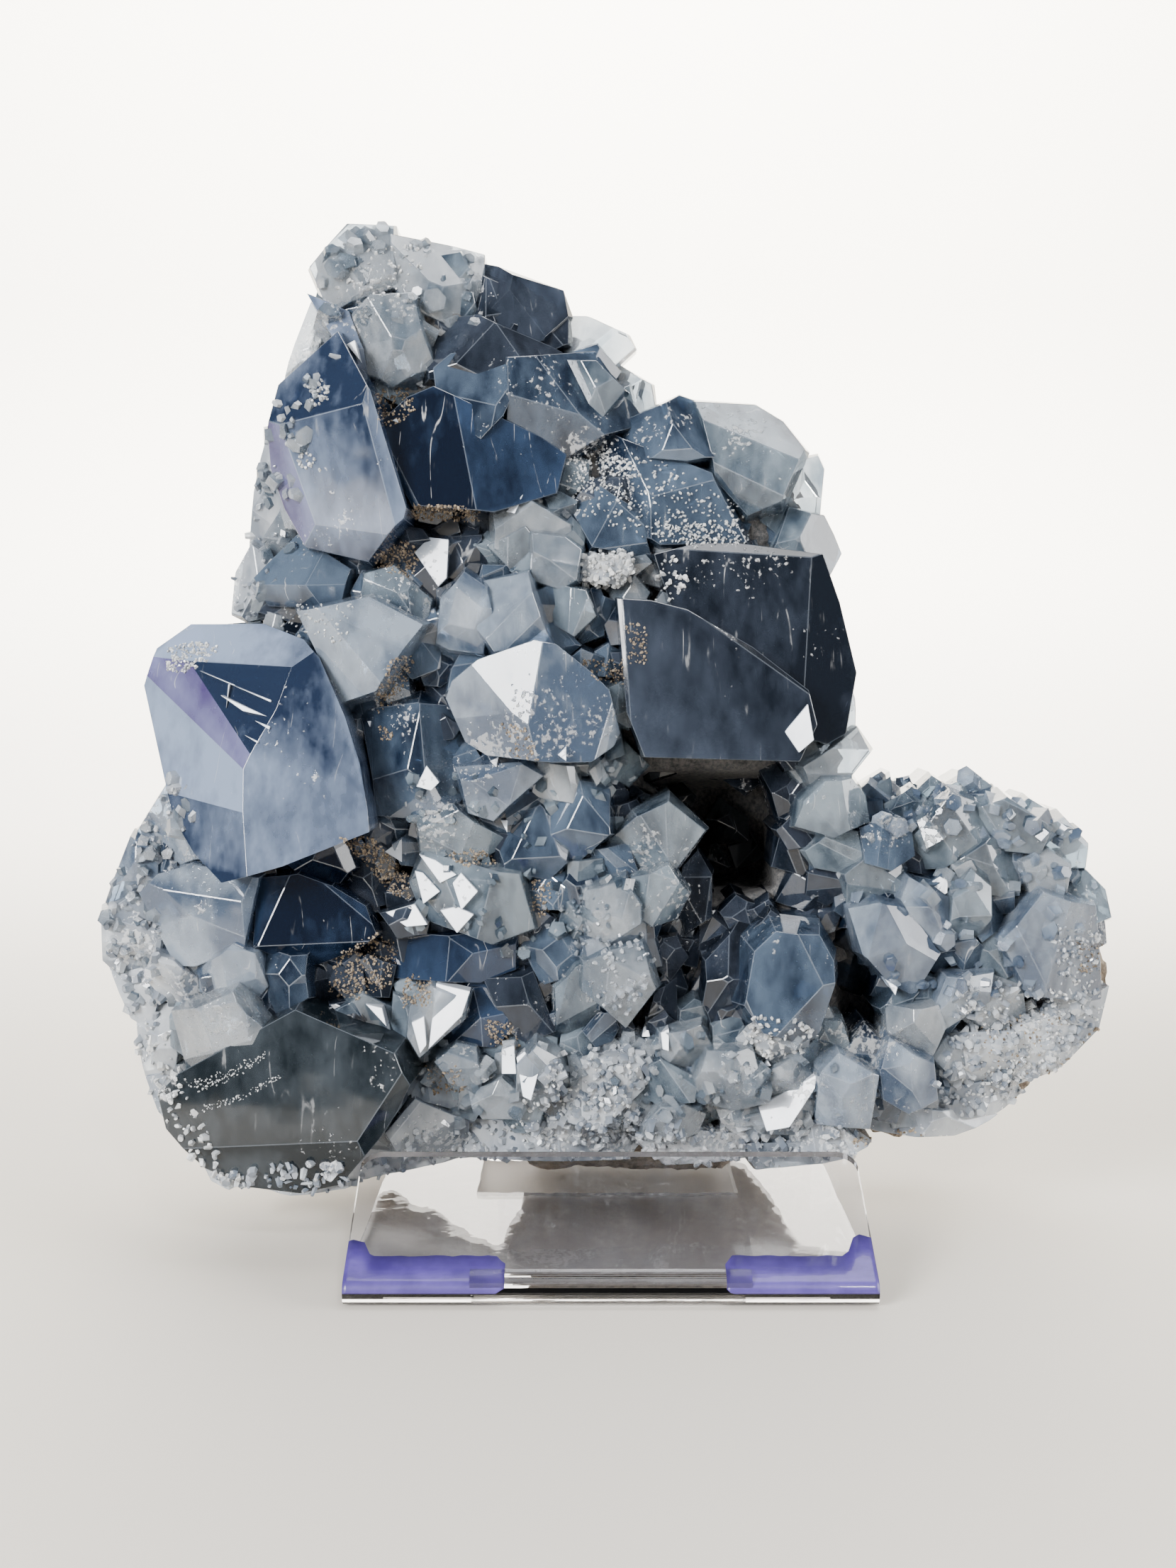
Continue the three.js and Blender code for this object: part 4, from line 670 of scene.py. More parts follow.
lowerLeft = [
    ("pale", -7,
     [-110.5, 82, -106, 86.5, -98, 89, -87, 88, -81, 86.5, -83, 75, -84, 70, -92, 68, -97, 65, -102, 65,
      -106, 74],
     [-104, -14, 83, -92, -22, 85, -86, -21, 81, -88, -20, 73, -100, -18, 75],
     {"shade": 0.35, "crown": 0.92, "cuts": (
         ((-88, 70, -90, 81), 0.6, 0.9), ((-106, 83, -98, 67), 0.35, -0.1), ((-86, 82, -107, 83), 0.5, 0.7),
         ((-90, 80, -104, 81, -97, 74), None, 0.1), ((-99, 76, -86, 69), 0.3, 0.4))}),
    ("navy", -5, [-82, 86.5, -72, 88, -64, 85, -56, 80, -53, 73, -58, 69.5, -68, 65.5, -76, 67, -83, 70.5],
     [-72, -16, 85, -63, -18, 77, -70, -16, 69, -79, -15, 76, -58, -12, 76],
     {"shade": -0.1, "crown": 0.92, "cuts": (
         ((-76, 85, -82, 72), 0.5, 0.5), ((-80, 69, -58, 70), 0.8, 0.3), ((-56, 74, -70, 86), 0.6, 0.6))}),
    ("navy", -7, [-76, 89, -71, 94, -62, 95, -59, 88, -63, 84, -72, 85],
     [-67, -13, 91]),
    ("dark", -4, [-63, 86, -58, 90, -52, 87, -50, 80, -57, 77],
     [-57, -10, 85]),
    ("pale", -12, [-100, 61, -92, 68.5, -88, 71, -82, 69, -80, 66, -80, 60, -83, 57, -98, 58],
     [-91, -20, 67, -84, -21, 66, -84, -20, 61, -93, -18, 62]),
    ("slate", -12, [-81, 68.5, -70.5, 68, -70.5, 57, -78, 52, -82, 56],
     [-78, -19, 66.5, -73, -19, 66, -73, -19, 59, -79, -18, 58]),
    ("clear", -14,
     [-105, 44, -103, 53, -97, 59, -92, 61.5, -87, 61, -82, 56, -78.5, 49, -81, 45, -90, 40, -101, 39],
     [-93, -26, 55, -86, -26, 52, -88, -25, 45, -98, -22, 47]),
    ("frost", -7, [-107, 69, -102, 67, -97, 62, -97, 56, -106, 56, -110, 62],
     [-103, -14, 63]),
    ("deep", -8,
     [-72, 57.5, -60, 52.5, -48, 48, -44.5, 40, -48, 33, -52, 27, -57, 21, -62, 15, -72, 12.5, -84, 14,
      -94, 19, -103, 29, -105, 37, -100, 42, -80, 48, -77, 54],
     [-72, -25, 50, -59, -25, 44, -54, -21, 34, -62, -22, 23, -80, -24, 21, -94, -16, 29, -90, -21, 38],
     {"shade": 0.45, "crown": 0.94, "cuts": (
         ((-60, 22, -47, 42), 0.6, 0.15), ((-98, 20, -58, 17), 0.5, 0.2), ((-48, 43, -70, 56), 0.9, 0.6))}),
    ("frost", -5, [-47, 41, -38, 40, -31, 36, -33, 29, -40, 29, -47, 33],
     [-40, -10, 35]),
]
lowerMiddle = [
    ("clear", -12, [-41, 43, -36, 47, -31, 46, -29, 38, -31, 34, -38, 37],
     [-35, -20, 43, -34, -19, 38.5]),
    ("clear", -12, [-27, 44, -22, 46, -20, 38, -24, 36, -28, 38],
     [-24, -18, 41.5]),
    ("clear", -14, [-22, 42, -17, 47.5, -12, 44, -10.5, 40, -12, 33, -18, 30.5, -22, 34],
     [-18, -24, 43, -14, -23, 40, -17, -23, 34.5]),
    ("clear", -12, [-31, 36, -25, 39, -19, 33, -21, 28, -30, 28, -33, 32],
     [-26, -20, 34]),
    ("frost", -4, [-54, 25, -46, 34, -38, 33, -33, 28, -35, 20, -50, 18],
     [-46, -11, 29, -39, -11, 27]),
    ("frost", -8, [-14, 43, -4, 44, 0, 43, 8, 45, 9, 36, 5, 29, -2, 25, -12, 28],
     [-6, -16, 38, 3, -17, 39, 0, -16, 31]),
    ("mist", -11, [7, 39, 12, 43.5, 18, 42.5, 22, 38, 21, 32, 12, 31, 7, 34],
     [13, -18, 40, 17, -18, 37]),
    ("clear", -9, [8, 27, 12, 32.5, 18, 33, 23, 29, 21, 24.5, 14, 22, 8, 23],
     [14, -19, 30, 18.5, -18, 28, 13, -16, 26]),
    ("clear", -12, [12, 49, 16, 51.5, 22, 51, 24.5, 46, 23.5, 36, 18, 35, 12, 43],
     [15, -20, 49, 21, -20, 47, 20.5, -19, 39, 14, -18, 45]),
    ("frost", -1, [-32, 28, -14, 29, 2, 28, 8, 24, 2, 17, -20, 17.2, -34, 18],
     [-22, -11, 24.5, -6, -11, 24.5]),
    ("frost", 0, [6, 24, 22, 27, 33, 24, 37, 18, 30, 15.8, 14, 15.8],
     [20, -11, 24.5]),
    ("frost", 1, [30, 22, 44, 24, 58, 22, 58, 18, 48, 16.3, 36, 14.5],
     [46, -10, 24.5]),
]
rightGroup = [
    ("slate", -12, [32, 71, 38, 76.5, 50, 75, 54, 68, 54.5, 62, 52, 55, 50, 48, 45, 45, 34, 48, 29, 56],
     [38, -24, 71, 46, -25, 70, 50, -24, 62, 46, -24, 52, 37, -25, 56, 34.5, -23, 63],
     {"shade": 0.6, "cuts": (
         ((40, 47, 50, 58), 0.5, 0.4), ((50, 62, 44, 74), 0.42, 0.3), ((40, 75, 32, 66), 0.6, 0.7),
         ((31, 60, 36, 49), 0.6, 0.35), ((36, 70, 44, 66, 38, 58), None, 0.8))}),
    ("dark", -8, [23, 66, 28, 71, 32, 75, 35, 70, 33, 56, 26, 48, 22, 56],
     [29, -17, 65, 28, -17, 57]),
    ("dark", -8, [34, 74, 38, 78.5, 42, 76, 40, 71, 34, 70],
     [38, -15, 75]),
    ("dark", 3, [18, 76, 28, 78.5, 36, 77, 32, 68, 24, 60, 18, 60, 15, 68],
     [25, -3, 73, 22, -3, 66]),
    ("clear", -14, [23, 45, 28, 47.5, 34, 46, 38, 40, 38, 32, 30, 30, 22, 32, 20, 38],
     [27, -23, 43, 34, -22, 40, 28, -22, 35]),
    ("frost", -13, [30, 47, 36, 52, 42, 52, 48, 48.5, 47, 44, 40, 41, 35, 44],
     [37, -21, 48, 43, -20, 47]),
    ("clear", -11, [37, 40, 42, 44, 50, 48, 54, 44, 51, 37, 44, 31, 36, 31],
     [44, -19, 42, 46, -18, 37, 39, -17, 34]),
    ("clear", -9, [36, 30, 42, 32, 50, 38, 51, 33, 46, 24, 40, 22.5, 36, 24],
     [43, -15, 30.5, 46, -14, 29]),
    ("pale", -12, [49, 41, 54, 45.5, 60, 43, 64, 40, 65, 32, 62, 26, 56, 24, 50, 27],
     [55, -23, 41, 60, -22, 36, 56, -22, 29, 52, -20, 34]),
    ("frost", -3, [42, 28, 51, 30, 60, 27, 62, 22, 54, 18, 44, 20],
     [52, -12, 25.5]),
    ("frost", -2, [25, 31, 36, 31, 36, 22, 28, 23],
     [32, -9, 28]),
    ("dark", 4, [53, 76, 60, 78, 64, 66, 60, 58, 54, 60, 52, 68],
     [58, -2, 70]),
]
rightLobe = [
    ("pale", -9, [57, 78, 63, 81, 70, 79, 75, 72, 78, 68, 72, 58, 66, 61, 59, 68],
     [62, -18, 77.5, 68, -20, 73, 72, -19, 65, 64, -17, 69]),
    ("pale", -9, [68, 81, 70, 86.5, 76, 85.5, 82, 83, 86, 78, 82, 71, 74, 70],
     [74, -18, 83, 80, -18, 78, 76, -17, 74]),
    ("mist", -9, [80, 82, 85, 88.5, 90, 84, 90, 76, 86, 70, 80, 71],
     [85, -17, 83, 86, -16, 75]),
    ("pale", -2, [90, 72, 92, 82, 100, 84.5, 108, 83, 114, 79, 119, 72, 122, 64, 117, 57, 106, 55, 98, 58],
     [98, -16, 78, 108, -15, 76, 112, -12, 66, 103, -17, 65, 95, -14, 71]),
    ("pale", -9, [76, 55, 79, 63, 86, 65, 91, 63, 90, 56, 84, 50, 79, 49],
     [82, -17, 60, 86, -16, 57]),
    ("clear", -11, [66, 55, 70, 57, 78, 56, 80, 50, 77, 43, 70, 42, 66, 46],
     [71, -19, 53, 75, -19, 48]),
    ("pale", -12, [63, 41, 66, 48.5, 71, 47, 77, 42, 78, 33, 71, 29.5, 65, 33],
     [68, -22, 43, 73.5, -22, 38, 70, -21, 33.5]),
    ("frost", 0, [62, 27, 70, 32, 80, 31, 89, 30, 92, 27.5, 82, 24, 72, 24, 64, 25],
     [74, -9, 28.5, 84, -7, 28]),
    ("mist", 3, [59, 104, 61, 107, 66, 110, 67, 104, 64, 100, 60, 100],
     [64, -3, 106]),
    ("mist", 0, [64, 103, 71, 107.5, 75, 104, 72, 98, 64, 98],
     [70, -6, 104]),
    ("mist", 2, [70, 105, 75.5, 110, 80, 107, 78, 100, 72, 100],
     [76, -4, 107]),
    ("mist", 3, [79, 107, 84, 110, 88, 109, 92, 106, 90, 101, 80, 101],
     [86, -3, 107]),
    ("mist", 4, [94, 102, 98, 105, 103, 102.5, 106, 100, 102, 96, 95, 97],
     [99, -3, 101]),
    ("mist", -6, [70, 94, 74, 101, 79, 107, 86, 105.5, 91, 101, 88, 94, 79, 88, 71, 88],
     [79, -16, 102, 85, -15, 99, 77, -15, 94]),
    ("mist", -4, [85, 103, 92, 106, 98, 103.5, 104, 98, 101, 91, 92, 92, 87, 96],
     [94, -13, 101, 97, -12, 96]),
    ("mist", 0, [100, 99, 106, 101, 110, 99, 112.5, 94, 112, 88, 105, 88, 100, 94],
     [106, -8, 96, 108, -6, 92]),
    ("mist", 2, [106, 87, 112, 88, 117, 83, 118.5, 76, 114, 74, 107, 80],
     [112, -5, 83]),
    ("slate", -7, [58, 98, 66, 101, 71, 98, 72, 91, 66, 87, 59, 89],
     [65, -15, 97, 66, -14, 92]),
    ("mist", -7, [54, 87, 60, 92, 68, 91, 71, 84, 66, 78, 57, 79],
     [61, -14, 87, 65, -13, 84]),
    ("mist", -7, [80, 90, 89, 96, 97, 93, 99, 86, 93, 81, 84, 83],
     [89, -14, 90, 93, -13, 87]),
    ("clear", -5, [96, 90, 103, 93, 109, 89, 108, 82, 99, 82],
     [102, -12, 88]),
    ("clear", -5, [86, 60, 91, 63, 98, 60, 99, 52, 92, 48, 85, 52],
     [92, -12, 57]),
    ("frost", -2, [76, 47, 84, 50, 96, 50, 98, 42, 90, 34, 78, 36],
     [84, -10, 45, 90, -9, 42]),
    ("frost", 1, [74, 36, 88, 38, 97, 36, 99, 32.5, 92, 29, 78, 28],
     [86, -6, 33]),
    ("frost", 2, [94, 52, 108, 56, 118, 58, 116, 49, 106, 40, 96, 36],
     [104, -8, 50, 100, -7, 44]),
]
leftRim = [
    ("pale", 1, [-101, 112, -96, 106, -97, 96, -94, 90, -104, 88, -111, 96, -107, 104],
     [-102, -7, 102, -102, -8, 95]),
    ("pale", 3, [-118, 88, -112, 96, -105, 93, -104, 84, -110, 79, -118.5, 80],
     [-111, -5, 89, -113, -4, 84]),
    ("frost", 3, [-119.5, 78, -110, 83, -104, 74, -105, 64, -112, 59, -119.5, 66],
     [-112, -5, 75, -111, -4, 68]),
    ("frost", 5, [-119, 66, -108, 68, -105, 58, -108, 49, -113, 52, -116, 59],
     [-110, -2, 60]),
    ("frost", 3, [-112, 53, -102, 56, -101, 44, -105, 34, -110, 38, -111.5, 46],
     [-106, -5, 46]),
    ("frost", 5, [-110, 39, -101, 42, -95, 28, -93, 18, -101, 22, -107, 30],
     [-101, -2, 30]),
    ("frost", 3, [-97.5, 18, -90, 21, -85, 14, -90.5, 10.5, -95, 12.5],
     [-91, -2, 15]),
    ("frost", 4, [-90, 17, -76, 18, -58, 20, -54, 14, -64, 10.5, -76, 9, -84, 10.5],
     [-72, -1, 13]),
    ("frost", 3, [-62, 24, -50, 27, -34, 24, -31, 18, -44, 15.5, -54, 13, -62, 11.5],
     [-48, -3, 19]),
]
besidePeak = [
    ("slate", 1,
     [-40, 203, -36, 206.5, -29, 207, -22, 206, -21, 199, -24, 192, -29, 186.5, -33, 189, -39, 196],
     [-33, -11, 203, -26, -11, 202, -30, -14, 192, -27, -13, 196],
     {"shade": 0.4, "crown": 0.97, "cuts": (
         ((-28, 188, -24, 207), 0.45, 0.1), ((-22, 202, -40, 199), 0.4, 0.75))}),
    ("mist", -3, [-10, 206, -3, 206, 4, 199, 4, 193, -2, 192, -9, 198],
     [-5, -9, 203, -1, -9, 197]),
]
# Crystals deep in the hollow, in the near-black pocket look that paints the hollow's shade.
inPocket = [
    ("pocket", 29, [22, 98, 26, 104, 32, 100, 32, 95, 23, 94],
     [28, 20, 99]),
    ("pocket", 29, [13, 106, 17, 108, 20, 105, 18, 100, 13, 101],
     [17, 22, 104]),
    ("pocket", 30, [28, 94, 33, 96, 36, 91, 30, 88],
     [32, 23, 92]),
    ("pocket", 29, [20, 92, 25, 94, 28, 89, 22, 86],
     [24, 21, 90]),
]

walls = [peak, upperFace, leftWall, bigLeft, centreUpper, bigRight, cavityRight, centreLower, lowerLeft,
         lowerMiddle, rightGroup, rightLobe, leftRim, inPocket, besidePeak]


def faceSlopes(tip, others, index):
    # slopes of the face through the tip that fits the other front corners best
    own = [growth["ownSlope"] * (chance(index + shift) - 0.5) for shift in (0, 0.5)]
    xx = zz = growth["freedom"]
    xz = 0
    xy = growth["freedom"] * own[0]
    zy = growth["freedom"] * own[1]
    for other in others:
        d = other - tip
        xx += d.x * d.x
        xz += d.x * d.z
        zz += d.z * d.z
        xy += d.x * d.y
        zy += d.z * d.y
    size = xx * zz - xz * xz
    return (xy * zz - zy * xz) / size, (zy * xx - xy * xz) / size


def slopesFacing(place, lampName):
    # slopes of a face that sends the lamp's light to the eye
    half = (eye - place).normalized() + (lampFacing[lampName] - place).normalized()
    return -half.x / half.y, -half.z / half.y


def awayFromWindow(place, a, b, skyward):
    # a large face never mirrors the window lamp by accident, nor a dark one the floor
    b = max(b, growth["skyward"]) if skyward else b
    mirror = Vector(slopesFacing(place, "window"))
    gap = Vector((a, b)) - mirror
    if gap.length < growth["mirrorGap"]:
        a, b = mirror + gap.normalized() * growth["mirrorGap"]
    return a, b


def onFront(planes, x, z):
    # where the sight line through (x, z) meets the front of the crystal
    d = corner(x, 0, z) - eye
    reaches = []
    for tip, a, b in planes:
        level = tip.y + a * (eye.x - tip.x) + b * (eye.z - tip.z)
        reaches.append((eye.y - level) / (eye.y + a * d.x + b * d.z))
    return eye + d * max(reaches)


def planeThrough(first, second, third):
    normal = (second - first).cross(third - first)
    return -normal.x / normal.y, -normal.z / normal.y


def fewerCorners(places, most):
    # drops the flattest corners until only so many are left
    places = list(places)
    while len(places) > most:
        bends = []
        for i, (x, z) in enumerate(places):
            (x0, z0), (x1, z1) = places[i - 1], places[(i + 1) % len(places)]
            bends.append(abs((x - x0) * (z1 - z0) - (x1 - x0) * (z - z0)))
        places.pop(bends.index(min(bends)))
    return places


def growCrystal(rimY, rim, front, seed, crown=None, facing=None, cuts=(), shade=None,
                skyward=False, edge=None):
    crown = growth["crown"] if crown is None else crown
    corners = growth["corners"] + int(growth["cornerSpread"] * chance(seed + 5))
    kept = fewerCorners(pairs(rim), growth["heroCorners"] if cuts else corners)
    shoulder = [corner(x, rimY, z) for x, z in kept]
    tips = [corner(*place) for place in triples(front)]
    tip = tips[0]
    middle = sum(shoulder, Vector()) / len(shoulder)
    top = sum(tips, Vector()) / len(tips)
    focus = middle.lerp(top, growth["pull"])
    shoulder = [middle + (point - middle) * growth["heroSwell" if cuts else "swell"] for point in shoulder]
    height = max(rimY - min(place.y for place in tips), growth["leastHeight"])
    backLimit = growth["backLimit"] + growth["backSpread"] * chance(seed + 31)
    points = []
    for point in shoulder:
        ahead = focus.lerp(point, 1 - (1 - crown) * growth["overshoot"])
        ahead.y = rimY - height * growth["overshoot"]
        behind = Vector((point.x, min(rimY + growth["root"], backLimit), point.z))
        points += [point, ahead, behind]
    bm = hullOf(points)
    # the sides start with a low shade mark: painted shade that darkens them
    shadeMark = bm.faces.layers.float["shade"]
    for number, face in enumerate(bm.faces):
        face[shadeMark] = growth["sideShade"] * chance(seed + number * 1.7)
    planes = []

    # each new face carries its painted light and shade, and its painted violet reflection
    def cutFace(place, a, b, shade, violet=0.0):
        planeCut(bm, place, Vector((a, -1, b)), shade=shade, violet=violet)
        planes.append((place.copy(), a, b))

    if facing:
        a, b = slopesFacing(tip, facing)
    else:
        a, b = awayFromWindow(tip, *faceSlopes(tip, tips[1:], seed), skyward)
    # the front face gets a shade mark too: painted light and shade, given or at random
    if shade is None:
        shade = growth["shade"] + growth["shadeSpread"] * chance(seed + 6)
    cutFace(tip, a, b, shade)
    for places, fall, *marks in cuts:
        met = [onFront(planes, x, z) for x, z in pairs(places)]
        if fall is None:
            cutFace(met[0], *planeThrough(*met), *marks)
            continue
        along = Vector((met[1].x - met[0].x, 0, met[1].z - met[0].z))
        climb = (met[1].y - met[0].y) / along.length
        along.normalize()
        right = Vector((along.z, 0, -along.x))
        cutFace(met[0], climb * along.x + fall * right.x, climb * along.z + fall * right.z, *marks)
    reach = sum(math.hypot(p.x - middle.x, p.z - middle.z) for p in shoulder) / len(shoulder)
    chamfers = 0 if cuts else growth["chamfers"] + int(growth["chamferSpread"] * chance(seed + 9))
    share = growth["chamferReach"] * chance(seed + 4) * growth["reachSpread"]
    firstTurn = chance(seed + 1) * math.pi * 2
    for i in range(chamfers):
        turn = firstTurn + (i + growth["turnSpread"] * chance(seed + 2 + i)) * math.pi * 2 / chamfers
        steep = growth["steep"] + growth["steepSpread"] * chance(seed + 3 + i)
        x = top.x + math.cos(turn) * reach * share
        z = top.z + math.sin(turn) * reach * share
        level = tip.y + a * (x - tip.x) + b * (z - tip.z)
        slopes = a + math.cos(turn) * steep, b + math.sin(turn) * steep
        if reach > growth["small"]:
            slopes = awayFromWindow(tip, *slopes, False)
        # the chamfer faces get shade marks at random: painted light and shade face by face
        pale = growth["sideShade"] + (1 - growth["sideShade"]) * chance(seed + 11 + i)
        cutFace(Vector((x, level, z)), *slopes, pale)
    softenEdges(bm, min(edge or growth["edge"], reach * growth["edgeShare"]))
    return bm


stores = {look: newStore() for look in crystalLooks}
grownPlaces = []
for wall in walls:
    for crystal in wall:
        look, rimY, rim, front, *facets = crystal
        extra = facets[0] if facets else {}
        number = len(grownPlaces) + 1
        skyward = crystalLooks[look]["shine"] < growth["dullBelow"]
        grown = growCrystal(rimY, rim, front, number * 7, skyward=skyward, **extra)
        addTo(stores[look], grown, chance(number * 3 + 0.3))
        places = pairs(rim)
        middle = Vector((sum(x for x, z in places), sum(z for x, z in places))) / len(places)
        grownPlaces.append((middle, rimY, look))
print("large crystals grown:", len(grownPlaces))


def treeOf(storeList):
    # one search tree over everything grown so far
    joined = bmesh.new()
    for store in storeList:
        carrier = bpy.data.meshes.new("carrier")
        store.to_mesh(carrier)
        joined.from_mesh(carrier)
        bpy.data.meshes.remove(carrier)
    tree = BVHTree.FromBMesh(joined)
    joined.free()
    return tree


# Bright cleavage faces that are turned to the window lamp, each an outline (x, z). Their pale look and full
# shade mark paint a highlight on top.
glints = [
    [-45.5, 162, -42, 165.5, -37.5, 165, -38, 156, -40, 154], [-45, 91, -41, 89.5, -36, 86, -40, 84],
    [-46, 87, -44, 86.5, -40, 82, -44, 79], [-37, 84, -35, 86.5, -31, 82, -35, 77.5],
    [-40, 77.5, -36, 78.5, -32, 76.5, -36, 72], [-53, 77, -46, 79, -43, 74, -48, 73.5],
    [-41, 60, -33, 58, -35, 52, -40, 48, -43, 44, -42, 50], [-47, 50.5, -44, 52, -43.5, 45, -45, 43],
    [-58, 55, -54, 54, -53, 49.5], [-53, 91.5, -49, 94.5, -49, 89],
    [-43, 112, -40, 108, -42, 106, -45.5, 107],
    [-22, 42, -20, 43.5, -16.5, 39, -18.5, 31.5, -20.5, 32.5], [-25.5, 44, -22.5, 45, -22, 38, -25.5, 38],
    [36, 30, 43, 30.5, 50, 38, 49.5, 34.5, 43.5, 25, 38, 24], [41.5, 120, 47, 126.5, 48.5, 118, 45, 115],
    [12.5, 48, 14.5, 49, 14.5, 43.5, 13, 44], [66, 61, 69, 59, 68.5, 57],
    [-12, 114.5, -10, 116.5, -10, 113], [-28, 113, -26, 114, -26.5, 111.5], [-25.5, 99, -24, 99, -24, 96],
    [-57, 122.5, -56, 122.5, -56.3, 121], [-24, 171.5, -20, 175.5, -22, 171], [37, 39.5, 38, 41.5, 39, 40],
    [8, 47, 9, 52, 10, 47], [-61, 210, -59, 211, -58, 206.5], [-49.5, 193, -50.5, 192.5, -49, 192],
    [-96.5, 134.4, -88, 131, -88.1, 130.7], [-88.5, 130.9, -79.5, 127.4, -79.6, 126.9, -84, 128.9],
    [-91.5, 128.6, -86, 125.2, -80.6, 123.6, -86.2, 124.8], [-83.5, 122.6, -79.8, 121.2, -80.1, 120.4],
    [-86, 119.2, -82.6, 117.6, -82.9, 117.2], [-89.6, 131.2, -89.2, 131.2, -90.2, 125.4],
]
glintSizes = {"proud": 0.5, "mostLift": 3, "back": 5.0, "edge": 0.12}


def growGlint(flat, tree):
    places = pairs(flat)
    hits = [tree.ray_cast(eye, (corner(x, 0, z) - eye).normalized())[0] for x, z in places]
    hits = [hit for hit in hits if hit is not None]
    middle = sum(hits, Vector()) / len(hits)
    a, b = slopesFacing(middle, "window")
    lift = max(middle.y + a * (hit.x - middle.x) + b * (hit.z - middle.z) - hit.y for hit in hits)
    lift = max(0, min(lift, glintSizes["mostLift"]))
    level = Vector((middle.x, middle.y - lift - glintSizes["proud"], middle.z))
    points = []
    for x, z in places:
        place = onFront([(level, a, b)], x, z)
        points += [place, place + Vector((0, glintSizes["back"], 0))]
    bm = hullOf(points)
    # a full shade mark: a painted highlight
    mark = bm.faces.layers.float["shade"]
    for face in bm.faces:
        face[mark] = 1.0
    softenEdges(bm, glintSizes["edge"])
    return bm


# The dark bed that shows between the crystals: painted shade for the gaps between them, with the rock's
# brown at its rim.
bed = {"step": 1.6, "width": 240, "height": 220, "middle": 123, "front": -1.0, "back": 14.0, "edge": 9.0,
       "rough": 2.2, "grain": 0.16, "pocketBack": 33.0, "pocketRim": (-1.5, 3.5),
       "sideBack": 9, "sideRim": (-1, 3)}
bedOutline = [
    -62, 228, -54, 230, -36, 226, -18, 215, -4, 206, 4, 196, 18, 190, 38, 184, 44, 172, 47, 156, 51, 134,
    50, 122, 54, 106, 70, 100, 86, 102, 102, 96, 110, 84, 115, 70, 114, 56, 104, 44, 92, 35, 76, 30, 60, 26,
    40, 22, 0, 22, -34, 24, -54, 20, -74, 16, -90, 20, -102, 34, -106, 50, -112, 66, -113, 80, -106, 92,
    -98, 104, -101, 128, -98, 138, -82, 142, -80, 152, -76, 168, -72, 192, -66, 208, -64, 220,
]
pocketOutline = [8, 110, 40, 110, 39, 83, 24, 81, 12, 95]
sidePocketOutline = [54, 65, 64, 65, 64, 49, 55, 47]


def signedDistance(outline, x, z):
    # distance to the outline, positive inside it
    places = pairs(outline)
    best = 1e9
    inside = False
    for (x1, z1), (x2, z2) in zip(places, places[1:] + places[:1]):
        dx, dz = x2 - x1, z2 - z1
        share = max(0.0, min(1.0, ((x - x1) * dx + (z - z1) * dz) / (dx * dx + dz * dz)))
        best = min(best, math.hypot(x - x1 - share * dx, z - z1 - share * dz))
        if (z1 > z) != (z2 > z) and x < x1 + (z - z1) * dx / dz:
            inside = not inside
    return best if inside else -best


def stepUp(value, low, high):
    share = max(0.0, min(1.0, (value - low) / (high - low)))
    return share * share * (3 - 2 * share)


def bedDepth(x, z):
    rim = stepUp(signedDistance(bedOutline, x, z), 0, bed["edge"])
    y = bed["back"] + (bed["front"] - bed["back"]) * rim
    y += bed["rough"] * noise.fractal(Vector((x, 0, z)) * bed["grain"], 0.9, 2.2, 4)
    deep = stepUp(signedDistance(pocketOutline, x, z), *bed["pocketRim"])
    side = stepUp(signedDistance(sidePocketOutline, x, z), *bed["sideRim"])
    return y + (bed["pocketBack"] - y) * deep + (bed["sideBack"] - y) * side * (1 - deep)


# Smaller crystals that fill in behind the large ones.
infill = {"seed": 41, "columns": (-16, 17), "rows": (2, 32), "spacing": 7.5, "jitter": 2.6,
          "radius": (4.6, 7.4), "sides": (5, 6), "tilt": 2.4, "inset": 1.0, "offPocket": -3,
          "offSidePocket": -2, "sink": 2.0, "rise": 5.5, "near": 3, "secondTilt": 1.5, "secondDrop": 1.2,
          "firstSeed": 900, "turnJitter": 0.25, "reachJitter": (0.8, 1.15)}
# the crystals set behind take a darker look than their neighbour's: painted shade for their depth
behindLook = {"clear": "mist", "pale": "slate", "mist": "slate", "slate": "dark", "dark": "dark",
              "pocket": "pocket", "deep": "dark", "navy": "navy", "lavender": "slate", "frost": "clear"}


def randomOutline(draw, x, z, radius, count):
    turn = draw.uniform(0, math.pi * 2)
    flat = []
    for i in range(count):
        off = draw.uniform(-infill["turnJitter"], infill["turnJitter"])
        angle = turn - (i + off) * math.pi * 2 / count
        reach = radius * draw.uniform(*infill["reachJitter"])
        flat += [x + math.cos(angle) * reach, z + math.sin(angle) * reach]
    return flat


def hasRoom(x, z):
    # on the bed and clear of both pockets
    if signedDistance(bedOutline, x, z) < infill["inset"]:
        return False
    if signedDistance(pocketOutline, x, z) > infill["offPocket"]:
        return False
    return signedDistance(sidePocketOutline, x, z) <= infill["offSidePocket"]


